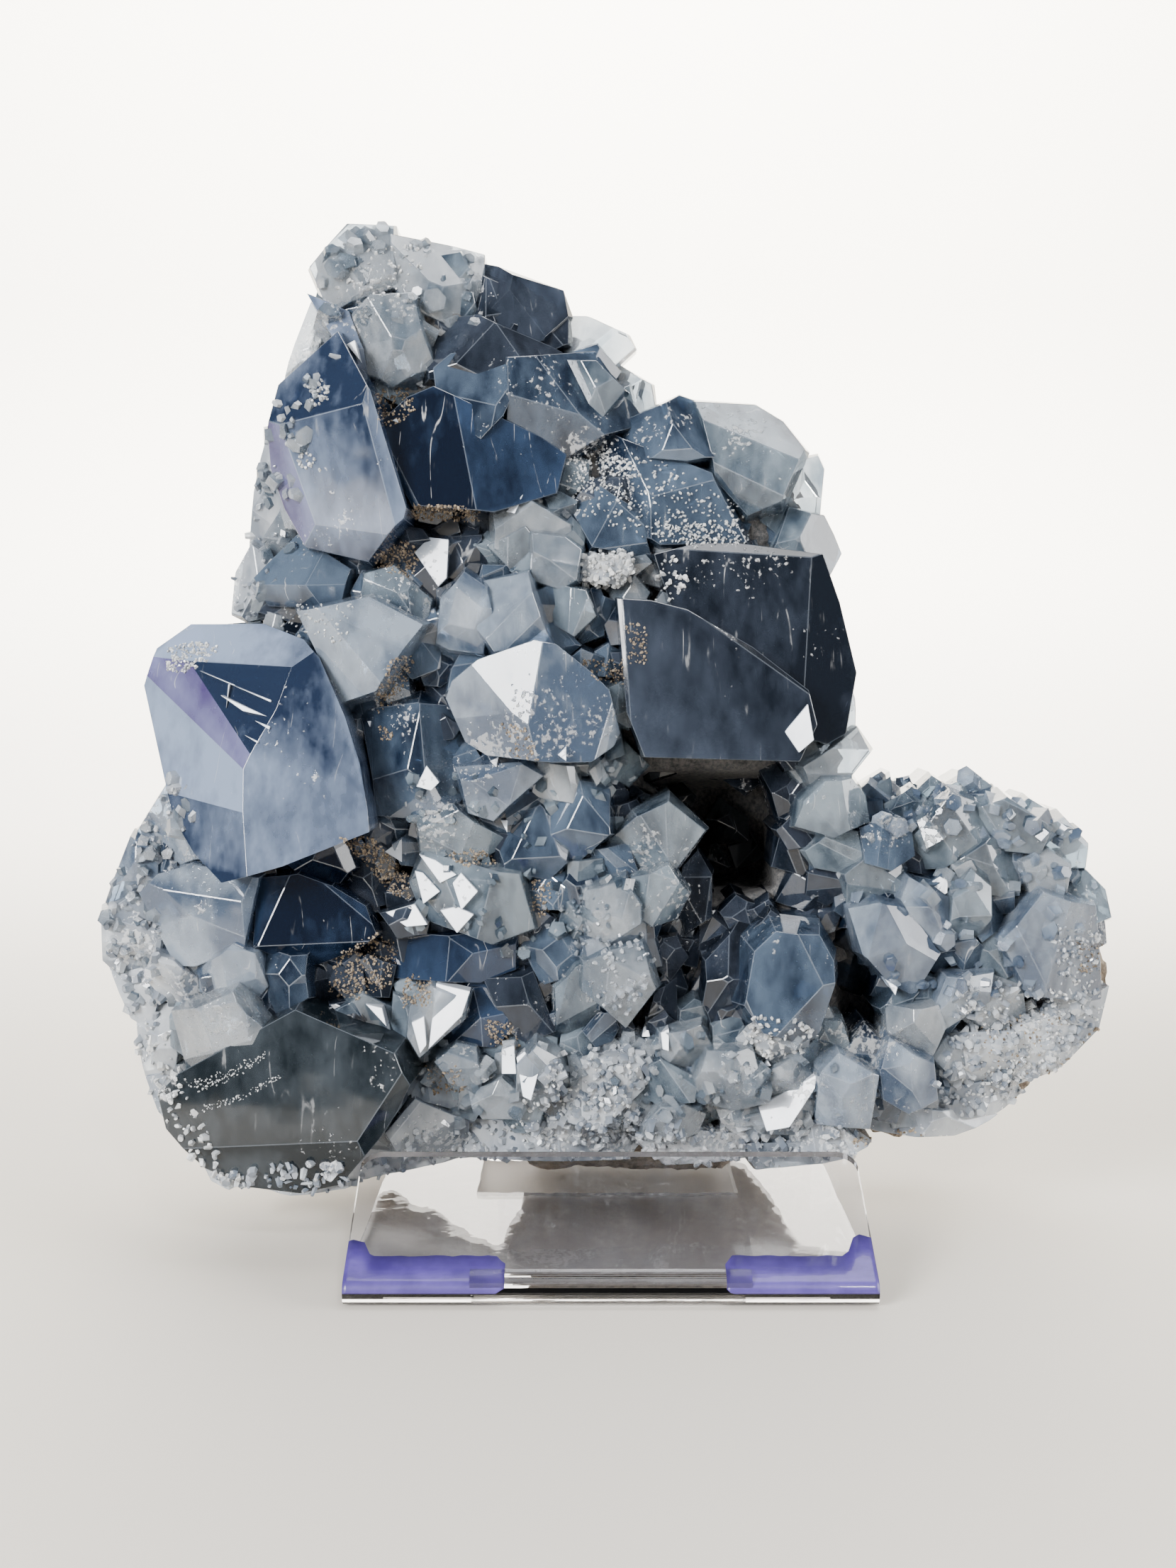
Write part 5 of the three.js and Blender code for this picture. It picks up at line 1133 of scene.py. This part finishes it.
def growInfill():
    draw = random.Random(infill["seed"])
    count = 0
    step, most, far = infill["spacing"], infill["tilt"], infill["secondTilt"]
    for column in range(*infill["columns"]):
        for row in range(*infill["rows"]):
            x = (column + 0.5 * (row % 2)) * step + draw.uniform(-1, 1) * infill["jitter"]
            z = row * step + draw.uniform(-1, 1) * infill["jitter"]
            radius = draw.uniform(*infill["radius"])
            sides = draw.randint(*infill["sides"])
            tilt = (draw.uniform(-most, most), draw.uniform(-most, most))
            if not hasRoom(x, z):
                continue
            nearest = sorted(grownPlaces, key=lambda item: (item[0] - Vector((x, z))).length)
            nearest = nearest[:infill["near"]]
            rimY = sum(item[1] for item in nearest) / len(nearest) + infill["sink"]
            tipY = rimY - infill["rise"]
            front = [x + tilt[0], tipY, z + tilt[1],
                     x - tilt[0] * far, tipY + infill["secondDrop"], z - tilt[1] * far]
            count += 1
            outline = randomOutline(draw, x, z, radius, sides)
            grown = growCrystal(rimY, outline, front, infill["firstSeed"] + count * 7)
            addTo(stores[behindLook[nearest[0][2]]], grown, chance(count * 5 + 0.7))
    print("infill crystals grown:", count)


growInfill()
grownTree = treeOf(stores.values())
for number, glint in enumerate(glints):
    addTo(stores["glint"], growGlint(glint, grownTree), chance(number + 0.2))
print("cleavage faces set:", len(glints))

# Sugary crusts, and sandy rock in the seams. Each row gives its outline (x, z), the number of grains, their
# smallest and largest size, and their look.
crusts = [
    ([-9, 182, -2, 188, 10, 184, 20, 180, 31, 172, 33, 164, 20, 163, 10, 165, 0, 168, -8, 172],
     460, 0.3, 1.0, "sugar"),
    ([-10, 184, 0, 186, 8, 180, 0, 176, -10, 177], 190, 0.35, 1.0, "sugar"),
    ([11, 168, 30, 170, 31, 164, 12, 164], 170, 0.35, 1.0, "sugar"),
    ([-7, 161, 0, 163, 5.5, 161.5, 6, 157, 2, 154, -3, 153.5, -7, 155], 150, 0.8, 1.9, "sugar"),
    ([11, 158, 15, 161, 19, 156, 15, 150, 11, 151], 50, 0.5, 1.6, "sugar"),
    ([-14, 42, -4, 44, 8, 45, 10, 36, 6, 24, -10, 20, -16, 24], 170, 1.4, 3.6, "frost"),
    ([-14, 36, -2, 42, 8, 40, 6, 24, -10, 20, -30, 19, -28, 26], 160, 0.7, 1.6, "sugar"),
    ([31, 46, 35, 52, 42, 52, 49, 48.5, 47, 44, 38, 42], 90, 0.7, 1.9, "sugar"),
    ([84, 62, 98, 60, 106, 56, 118, 58, 114, 46, 98, 32, 84, 28, 78, 34, 82, 44], 260, 1.2, 3.4, "frost"),
    ([84, 56, 98, 54, 108, 60, 119, 62, 116, 48, 100, 33, 86, 30, 82, 36, 86, 46], 300, 0.6, 1.4, "sugar"),
    ([106, 74, 116, 72, 121, 64, 112, 60, 106, 64], 90, 0.7, 1.8, "frost"),
    ([-69, 219, -65, 214, -68, 205, -76, 198, -78, 186, -84, 172, -88, 150, -83, 146, -78, 160, -76, 176,
      -73, 192, -68, 200, -62, 206], 40, 1.2, 3.2, "frost"),
    ([-120, 66, -119, 82, -111, 96, -102, 108, -98, 100, -106, 84, -108, 66, -106, 50, -112, 44, -115, 54],
     60, 1.4, 4.0, "frost"),
    ([-113, 52, -104, 46, -102, 34, -94, 20, -88, 11, -98, 14, -108, 30, -113, 42], 90, 0.8, 2.4, "sugar"),
    ([-96, 12, -86, 17, -60, 15, -46, 24, -30, 26, 0, 26, 34, 25, 60, 26, 60, 18, 34, 15, 0, 17, -40, 16,
      -70, 9, -90, 10], 330, 1.0, 3.4, "frost"),
    ([-101, 36, -92, 39, -82, 43.6, -81, 42.6, -90, 36.6, -99, 33.5], 150, 0.2, 0.55, "sugar"),
    ([-98, 30, -88, 33, -79, 38, -78.5, 37, -88, 31.6, -97, 28.6], 110, 0.2, 0.5, "sugar"),
    ([-104, 134, -104, 139, -99, 141, -92, 140, -95, 136, -100, 134], 190, 0.4, 1.1, "sugar"),
    ([-68, 230, -60, 237, -50, 236, -34, 232, -30, 222, -38, 212, -56, 218, -68, 220],
     46, 3.5, 9.0, "clear"),
    ([-66, 232, -58, 236, -48, 234, -38, 228, -50, 221, -64, 222], 70, 0.5, 1.4, "sugar"),
    ([-70, 200, -66, 203, -65, 197, -69, 196], 40, 0.6, 1.3, "sugar"),
    ([-73, 186, -70, 186, -67, 181, -72, 182], 30, 0.6, 1.2, "sugar"),
    ([60, 106, 76, 110, 92, 108, 106, 101, 112, 94, 104, 94, 86, 98, 66, 98], 22, 4.0, 8.5, "pale"),
    ([56, 98, 100, 96, 112, 86, 96, 80, 64, 82], 16, 3.5, 7.0, "clear"),
    ([-16, 78, -6, 84, 0, 76, -8, 66], 40, 1.2, 2.8, "clear"),
    ([-2, 70, 9, 73, 11, 60, 4, 52, -4, 58], 60, 0.8, 2.0, "frost"),
    ([-78, 150, -60, 150, -62, 141, -76, 143], 70, 0.4, 0.9, "sugar"),
    ([-67, 58, -64, 68, -55, 72, -50, 69, -52, 60, -60, 56], 390, 0.4, 1.0, "sand"),
    ([-49, 62, -42, 61, -42, 55, -49, 54], 135, 0.4, 1.0, "sand"),
    ([-64, 95, -56, 95, -48, 86, -47, 80, -52, 82, -57, 88], 360, 0.4, 1.0, "sand"),
    ([-38, 91, -30, 92, -26, 89, -34, 88], 120, 0.3, 1.0, "sand"),
    ([-30, 51, -23, 50, -21, 44, -28, 45], 135, 0.3, 1.0, "sand"),
    ([-18, 85, -13, 84, -15, 76, -18, 77], 105, 0.3, 1.0, "sand"),
    ([-55, 128, -51, 137, -46, 138, -48, 130, -54, 124], 165, 0.3, 1.0, "sand"),
    ([-55, 161, -48, 165, -44, 162, -46, 156, -54, 158], 210, 0.3, 1.0, "sand"),
    ([-46, 170, -46, 173, -34, 173, -30, 169, -40, 169.5], 225, 0.3, 1.0, "sand"),
    ([-54, 199, -47, 200, -45, 195, -50, 191, -54, 193], 135, 0.5, 1.0, "sand"),
    ([4, 146, 9, 144, 9, 136, 5, 136], 90, 0.3, 1.0, "sand"),
    ([-6, 137, 3, 137, 4, 131, -3, 132], 90, 0.3, 1.0, "sand"),
    ([-54, 121, -51, 121, -51, 118, -54, 118], 45, 0.3, 1.0, "sand"),
    ([-26, 122, -20, 121, -16, 113, -22, 114], 75, 0.3, 1.0, "sand"),
    ([-44, 40, -36, 40, -34, 34, -42, 33], 90, 0.3, 1.0, "sand"),
    ([104, 38, 112, 44, 118, 51, 120, 47, 110, 36, 100, 30, 96, 31], 200, 0.5, 1.4, "sand"),
    ([58, 22, 74, 25, 76, 21, 60, 17], 110, 0.5, 1.3, "sand"),
    ([-118, 90, -110, 98, -101, 110, -98, 104, -104, 92, -112, 84, -119, 76, -119, 60, -112, 54, -108, 62,
      -110, 78], 46, 3.0, 8.0, "clear"),
    ([-85, 150, -80, 165, -80, 182, -74, 196, -69, 206, -66, 200, -72, 184, -74, 166, -78, 150],
     34, 3.0, 7.5, "clear"),
    ([62, 104, 90, 106, 112, 92, 118, 76, 108, 62, 88, 56, 62, 62, 58, 84], 44, 3.5, 7.5, "pale"),
    ([-44, 112, 6, 114, 8, 84, -20, 66, -44, 70, -48, 96], 70, 2.5, 6.5, "mist"),
    ([-46, 46, 12, 48, 54, 44, 56, 28, 0, 26, -44, 28], 90, 2.5, 7.0, "clear"),
    ([111, 70, 118, 70, 118, 62, 112, 63], 75, 0.3, 1.0, "sand"),
    ([88, 50, 104, 54, 112, 50, 100, 38, 90, 36], 105, 0.3, 1.0, "sand"),
]
grainShape = {"seed": 77, "sides": (4, 5, 6), "lean": 0.6,
              "foot": (0.4, 0.6), "tip": (0.15, 0.4), "height": (0.7, 1.3),  # here on shares of its size
              "flat": (0.55, 1), "sink": 0.3, "overRim": 0.5}
grainSink = {"sand": 0.15, "sugar": 0.0, "frost": 0.05}  # for the looks that sink less than the rest


def growGrain(draw, place, normal, size, look):
    # a short blocky crystal with a blunt tip, most of it standing out of what it grows on
    bm = markedMesh()
    sides = draw.choice(grainShape["sides"])
    foot = size * draw.uniform(*grainShape["foot"])
    top = size * draw.uniform(*grainShape["tip"])
    height = size * draw.uniform(*grainShape["height"])
    bmesh.ops.create_cone(bm, cap_ends=True, segments=sides, radius1=foot, radius2=top, depth=height)
    lean = Vector([draw.uniform(-grainShape["lean"], grainShape["lean"]) for _ in range(3)])
    turn = (normal + lean).normalized().to_track_quat("Z", "X").to_matrix().to_4x4()
    spin = Matrix.Rotation(draw.uniform(0, math.pi), 4, "Z")
    flatten = Matrix.Diagonal((1, draw.uniform(*grainShape["flat"]), 1, 1))
    seat = Matrix.Translation(place - normal * size * grainSink.get(look, grainShape["sink"]))
    bmesh.ops.transform(bm, matrix=seat @ turn @ spin @ flatten, verts=bm.verts)
    # each face gets a random shade mark: painted light and shade face by face
    mark = bm.faces.layers.float["shade"]
    for face in bm.faces:
        face[mark] = draw.random()
    return bm


def growCrusts(tree):
    draw = random.Random(grainShape["seed"])
    for outline, count, smallest, largest, look in crusts:
        low = [min(outline[i::2]) for i in (0, 1)]
        high = [max(outline[i::2]) for i in (0, 1)]
        placed = 0
        while placed < count:
            x, z = draw.uniform(low[0], high[0]), draw.uniform(low[1], high[1])
            size = draw.uniform(smallest, largest)
            if signedDistance(outline, x, z) < -grainShape["overRim"] * size * draw.random():
                continue
            placed += 1
            hit, normal = tree.ray_cast(eye, (corner(x, 0, z) - eye).normalized())[:2]
            if hit is not None:
                addTo(stores[look], growGrain(draw, hit, normal, size, look), draw.random())
    print("crusts grown:", sum(crust[1] for crust in crusts), "grains")


growCrusts(grownTree)


def buildBed():
    bm = bmesh.new()
    columns = int(bed["width"] / bed["step"])
    rows = int(bed["height"] / bed["step"])
    bmesh.ops.create_grid(bm, x_segments=columns, y_segments=rows, size=0.5)
    bmesh.ops.scale(bm, vec=(bed["width"], bed["height"], 1), verts=bm.verts)
    bmesh.ops.rotate(bm, cent=(0, 0, 0), matrix=Matrix.Rotation(math.radians(90), 3, "X"), verts=bm.verts)
    bmesh.ops.translate(bm, vec=(0, 0, bed["middle"]), verts=bm.verts)
    outside = [v for v in bm.verts if signedDistance(bedOutline, v.co.x, v.co.z) < 0]
    bmesh.ops.delete(bm, geom=outside, context="VERTS")
    for vert in bm.verts:
        x, z = vert.co.x, vert.co.z
        vert.co = corner(x, bedDepth(x, z), z)
    # tone here runs from the rim inward, so the material darkens the bed away from its rim as painted shade
    layer = bm.verts.layers.float.new("tone")
    for vert in bm.verts:
        vert[layer] = stepUp(signedDistance(bedOutline, vert.co.x, vert.co.z), 1, bed["edge"])
    return bm


def stoneMaterial(name, dark, mid, light, size, lift, rim=None):
    made, tree, shader = newMaterial(name)
    grain = useGroup(tree, "grain", Size=size)
    stained = blendColours(tree, grain.outputs["Stain"], (*dark, 1), (*mid, 1))
    # where a rim is given, its colour gives way inward to the darker stain; on the bed that darkening is
    # painted shade
    if rim:
        stained = blendColours(tree, markOf(tree, "tone"), (*rim, 1), stained)
    bright = maths(tree, "MULTIPLY", grain.outputs["Grit"], brokenStone["gritShare"])
    colour = blendColours(tree, bright, stained, (*light, 1))
    setInputs(tree, shader, Base_Color=colour, Roughness=brokenStone["rough"],
              Normal=raised(tree, grain.outputs["Height"], lift))
    return made


# near-black colours that paint the shade between the crystals; rim is the rock's brown
bedLook = {"dark": (0.012, 0.014, 0.018), "mid": (0.05, 0.055, 0.06), "light": (0.16, 0.15, 0.14),
           "size": 0.8, "lift": 0.0006, "rim": (0.17, 0.13, 0.095)}
bedPiece = newPiece("painted_shade_bed", buildBed(), stoneMaterial("paintedShadeBed", **bedLook), True)
print("bed built")

# The rock behind the crystals.
rockSizes = {"voxel": 1.6, "even": 0.5, "lift": 1.6, "blotch": 0.09, "crack": 0.05, "crackShift": (7, 3, 1),
             "crackDepth": 0.6, "crackSharp": 6, "floor": 3.25, "tongueFoot": 54.6, "tongueLean": 0.249,
             "tongueTop": 44, "tongueSide": 49}
rockLook = {"dark": (0.07, 0.05, 0.037), "mid": (0.20, 0.152, 0.11), "light": (0.42, 0.35, 0.27),
            "size": 1.6, "lift": 0.0009}
rockFillings = [(-26, 20.5, 105, 7), (-16, 21, 177.5, 8)]  # x, y, z, radius


def buildRock():
    bm = bmesh.new()
    bm.from_mesh(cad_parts["rock_matrix"].data)
    bmesh.ops.remove_doubles(bm, verts=bm.verts, dist=1e-6)
    bmesh.ops.scale(bm, vec=(1 / mm, 1 / mm, 1 / mm), verts=bm.verts)
    for x, y, z, size in rockFillings:  # lumps that close the pinholes between the larger ones
        bmesh.ops.create_icosphere(bm, subdivisions=2, radius=size, matrix=Matrix.Translation((x, y, z)))
    mesh = bpy.data.meshes.new("rock_rough")
    bm.to_mesh(mesh)
    bm.free()
    holder = bpy.data.objects.new("rock_rough", mesh)
    bpy.context.scene.collection.objects.link(holder)
    remesh = holder.modifiers.new("remesh", "REMESH")
    remesh.mode = "VOXEL"
    remesh.voxel_size = rockSizes["voxel"]
    fine = bpy.data.meshes.new_from_object(holder.evaluated_get(bpy.context.evaluated_depsgraph_get()))
    out = bmesh.new()
    out.from_mesh(fine)
    bpy.data.objects.remove(holder)
    bmesh.ops.smooth_vert(out, verts=out.verts, factor=rockSizes["even"], use_axis_x=True, use_axis_y=True,
                          use_axis_z=True)
    out.normal_update()
    shift = Vector(rockSizes["crackShift"])
    for vert in out.verts:
        rough = noise.fractal(vert.co * rockSizes["blotch"], 0.8, 2.1, 5)
        cracked = abs(noise.noise(vert.co * rockSizes["crack"] + shift))
        crack = rockSizes["crackDepth"] * (1 - min(1, cracked * rockSizes["crackSharp"]))
        vert.co += vert.normal * rockSizes["lift"] * (rough - crack)
        vert.co.z = max(vert.co.z, rockSizes["floor"])
        if vert.co.z < rockSizes["tongueTop"] and abs(vert.co.x) < rockSizes["tongueSide"]:
            vert.co.y = min(vert.co.y, rockSizes["tongueFoot"] + rockSizes["tongueLean"] * vert.co.z)
    return out


rockPiece = newPiece("rock_back", buildRock(), stoneMaterial("brownRock", **rockLook), True)
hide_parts("rock_matrix")
print("rock built")

# The joined crystals become one piece for each look.
for look, store in stores.items():
    name = "sandy_seams" if look == "sand" else "crystals_" + look
    piece = newPiece(name, store, crystalMaterial(name, crystalLooks[look]))
    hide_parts("celestite_crystals")
print("crystal pieces finished")

# The acrylic stand and the thin violet sheets laid round its fold.
sheet = {"corner": 5.0, "cornerEdge": 4, "lipSide": 56.5, "lipTop": 18, "edge": 0.35, "sharp": 0.7,
         "foldY": -48.5, "foldZ": 3.0, "outer": 3.0, "lip": 27}


def bareStand():
    bm = bmesh.new()
    bm.from_mesh(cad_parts["acrylic_stand"].data)
    bmesh.ops.scale(bm, vec=(1 / mm, 1 / mm, 1 / mm), verts=bm.verts)
    bmesh.ops.remove_doubles(bm, verts=bm.verts, dist=1e-4)
    bmesh.ops.dissolve_limit(bm, angle_limit=math.radians(1), verts=bm.verts[:], edges=bm.edges[:])
    return bm


def buildSheet():
    bm = bareStand()

    def atLipCorner(place):
        return abs(place.x) > sheet["lipSide"] and place.z > sheet["lipTop"] and place.y < 0

    atCorners = [edge for edge in bm.edges if all(atLipCorner(vert.co) for vert in edge.verts)]
    corners = [edge for edge in atCorners if edge.calc_length() < sheet["cornerEdge"]]
    bevelEdges(bm, corners, sheet["corner"], 7)
    bevelEdges(bm, edgesOver(bm, sheet["sharp"]), sheet["edge"], 2)
    return bm


def alongLip(reach, lift):
    # a place (y, z) on the outside of the fold: below 0 it follows the arc, in degrees, above 0 the lip
    lean = math.radians(sheet["lip"])
    turn = math.pi / 2 + lean - (math.radians(reach) if reach < 0 else 0)
    out = sheet["outer"] + lift
    y = sheet["foldY"] + math.cos(turn) * out
    z = sheet["foldZ"] + math.sin(turn) * out
    if reach > 0:
        y += math.cos(lean) * reach
        z += math.sin(lean) * reach
    return y, z


film = {"thick": 0.12, "lift": 0.03, "rows": 12, "waver": 0.5, "steps": 14}


def buildFilm(columns):
    # a thin violet sheet laid round the fold; each column is (x, lowest reach, highest reach)
    bm = bmesh.new()
    bmesh.ops.create_grid(bm, x_segments=len(columns) - 1, y_segments=film["rows"], size=1)
    for vert in bm.verts:
        x, low, high = columns[round((vert.co.x + 1) / 2 * (len(columns) - 1))]
        vert.co = (x, *alongLip(low + (high - low) * (vert.co.y + 1) / 2, film["lift"]))
    bmesh.ops.recalc_face_normals(bm, faces=bm.faces[:])
    bmesh.ops.solidify(bm, geom=bm.faces[:], thickness=film["thick"])
    return bm


def roughEdge(start, end, low, high, seed):
    # columns of a violet sheet whose upper edge wavers a little
    columns = []
    for i in range(film["steps"] + 1):
        x = start + (end - start) * i / film["steps"]
        columns.append((x, low, high + film["waver"] * (chance(seed + i) - 0.5)))
    return columns


films = {
    "left": [(-57, -62, 11), (-56, -62, 11.4), (-53.5, -62, 10.6), (-52, -62, 7.2)]
            + roughEdge(-51, -24.5, -62, 6.6, 3) + [(-23.5, -50, 5.2), (-22.6, -40, 4.4)],
    "right": [(24.6, -44, 4.2), (25.4, -58, 5.4)] + roughEdge(26.2, 50, -62, 6.7, 40)
             + [(51.5, -62, 8), (53, -62, 12), (54.5, -62, 13), (56, -62, 12.4), (57, -62, 12)],
}
acrylicLook = {"tint": (0.97, 0.97, 1.0, 1), "ior": 1.49, "rough": 0.01, "smear": 18,
               "smearRange": (0.52, 0.75), "smearRough": 0.06, "scratch": 0.000012}
filmLook = {"dark": (0.04, 0.024, 0.155, 1), "light": (0.07, 0.045, 0.24, 1), "blotch": 7, "crease": 3,
            "blotchRange": (0.35, 0.7), "creaseHeight": 0.0002, "rough": 0.42, "coat": 0.25}


def acrylicMaterial():
    made, tree, shader = newMaterial("clearAcrylic")
    scratch = useGroup(tree, "lines")
    smear = objectNoise(tree, addNode(tree, "TexCoord").outputs["Object"], acrylicLook["smear"], 3)
    spread = ramp(tree, smear, *acrylicLook["smearRange"])
    smeared = maths(tree, "MULTIPLY", spread, acrylicLook["smearRough"])
    rough = maths(tree, "ADD", acrylicLook["rough"], smeared)
    lift = maths(tree, "MULTIPLY", scratch.outputs["Height"], acrylicLook["scratch"])
    setInputs(tree, shader, Base_Color=acrylicLook["tint"], Roughness=rough, IOR=acrylicLook["ior"],
              Transmission_Weight=1.0, Normal=raised(tree, lift))
    return made


def violetMaterial():
    made, tree, shader = newMaterial("violetFilm")
    place = addNode(tree, "TexCoord").outputs["Object"]
    blotch = objectNoise(tree, place, filmLook["blotch"], 4)
    share = ramp(tree, blotch, *filmLook["blotchRange"])
    colour = blendColours(tree, share, filmLook["dark"], filmLook["light"])
    crease = objectNoise(tree, place, filmLook["crease"], 3, (0.3, 1, 1))
    height = maths(tree, "MULTIPLY", crease, filmLook["creaseHeight"])
    setInputs(tree, shader, Base_Color=colour, Roughness=filmLook["rough"], Coat_Weight=filmLook["coat"],
              Normal=raised(tree, height))
    return made


sheetPiece = newPiece("clear_sheet", buildSheet(), acrylicMaterial())
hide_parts("acrylic_stand")
violet = violetMaterial()
for side, columns in films.items():
    filmPiece = newPiece("violet_film_" + side, buildFilm(columns), violet, True)
    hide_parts("acrylic_stand")
print("stand built")

# The floor, which runs up into the wall.
stage = {"half": 3.0, "back": 0.9, "curve": 0.5, "arcSteps": 12, "top": 3.0, "gap": 0.0004,  # in metres
         "rough": 0.6, "tintHeight": 0.25, "floorTint": (0.60, 0.56, 0.50, 1),
         "wallTint": (0.82, 0.775, 0.675, 1)}


def buildStage():
    bm = bmesh.new()
    back, curve = stage["back"], stage["curve"]
    path = [(-stage["half"], 0.0), (back, 0.0)]
    for i in range(1, stage["arcSteps"] + 1):
        turn = math.radians(90 * i / stage["arcSteps"])
        path.append((back + curve * math.sin(turn), curve * (1 - math.cos(turn))))
    path.append((back + curve, stage["top"]))
    verts = [bm.verts.new((-stage["half"], y, z)) for y, z in path]
    edges = [bm.edges.new(pair) for pair in zip(verts, verts[1:])]
    made = bmesh.ops.extrude_edge_only(bm, edges=edges)
    moved = [item for item in made["geom"] if isinstance(item, bmesh.types.BMVert)]
    bmesh.ops.translate(bm, vec=(2 * stage["half"], 0, 0), verts=moved)
    bmesh.ops.translate(bm, vec=(0, 0, -stage["gap"]), verts=bm.verts)
    bmesh.ops.recalc_face_normals(bm, faces=bm.faces)
    return bm


def floorMaterial():
    made, tree, shader = newMaterial("paleFloor")
    height = addNode(tree, "SeparateXYZ")
    setInputs(tree, height, Vector=addNode(tree, "TexCoord").outputs["Object"])
    share = ramp(tree, height.outputs["Z"], 0.0, stage["tintHeight"])
    colour = blendColours(tree, share, stage["floorTint"], stage["wallTint"])
    setInputs(tree, shader, Base_Color=colour, Roughness=stage["rough"])
    return made


stageMesh = bpy.data.meshes.new("floor")
floorShape = buildStage()
floorShape.to_mesh(stageMesh)
floorShape.free()
stageMesh.materials.append(floorMaterial())
for face in stageMesh.polygons:
    face.use_smooth = True
floor = bpy.data.objects.new("floor", stageMesh)
bpy.context.scene.collection.objects.link(floor)
print("stage set")
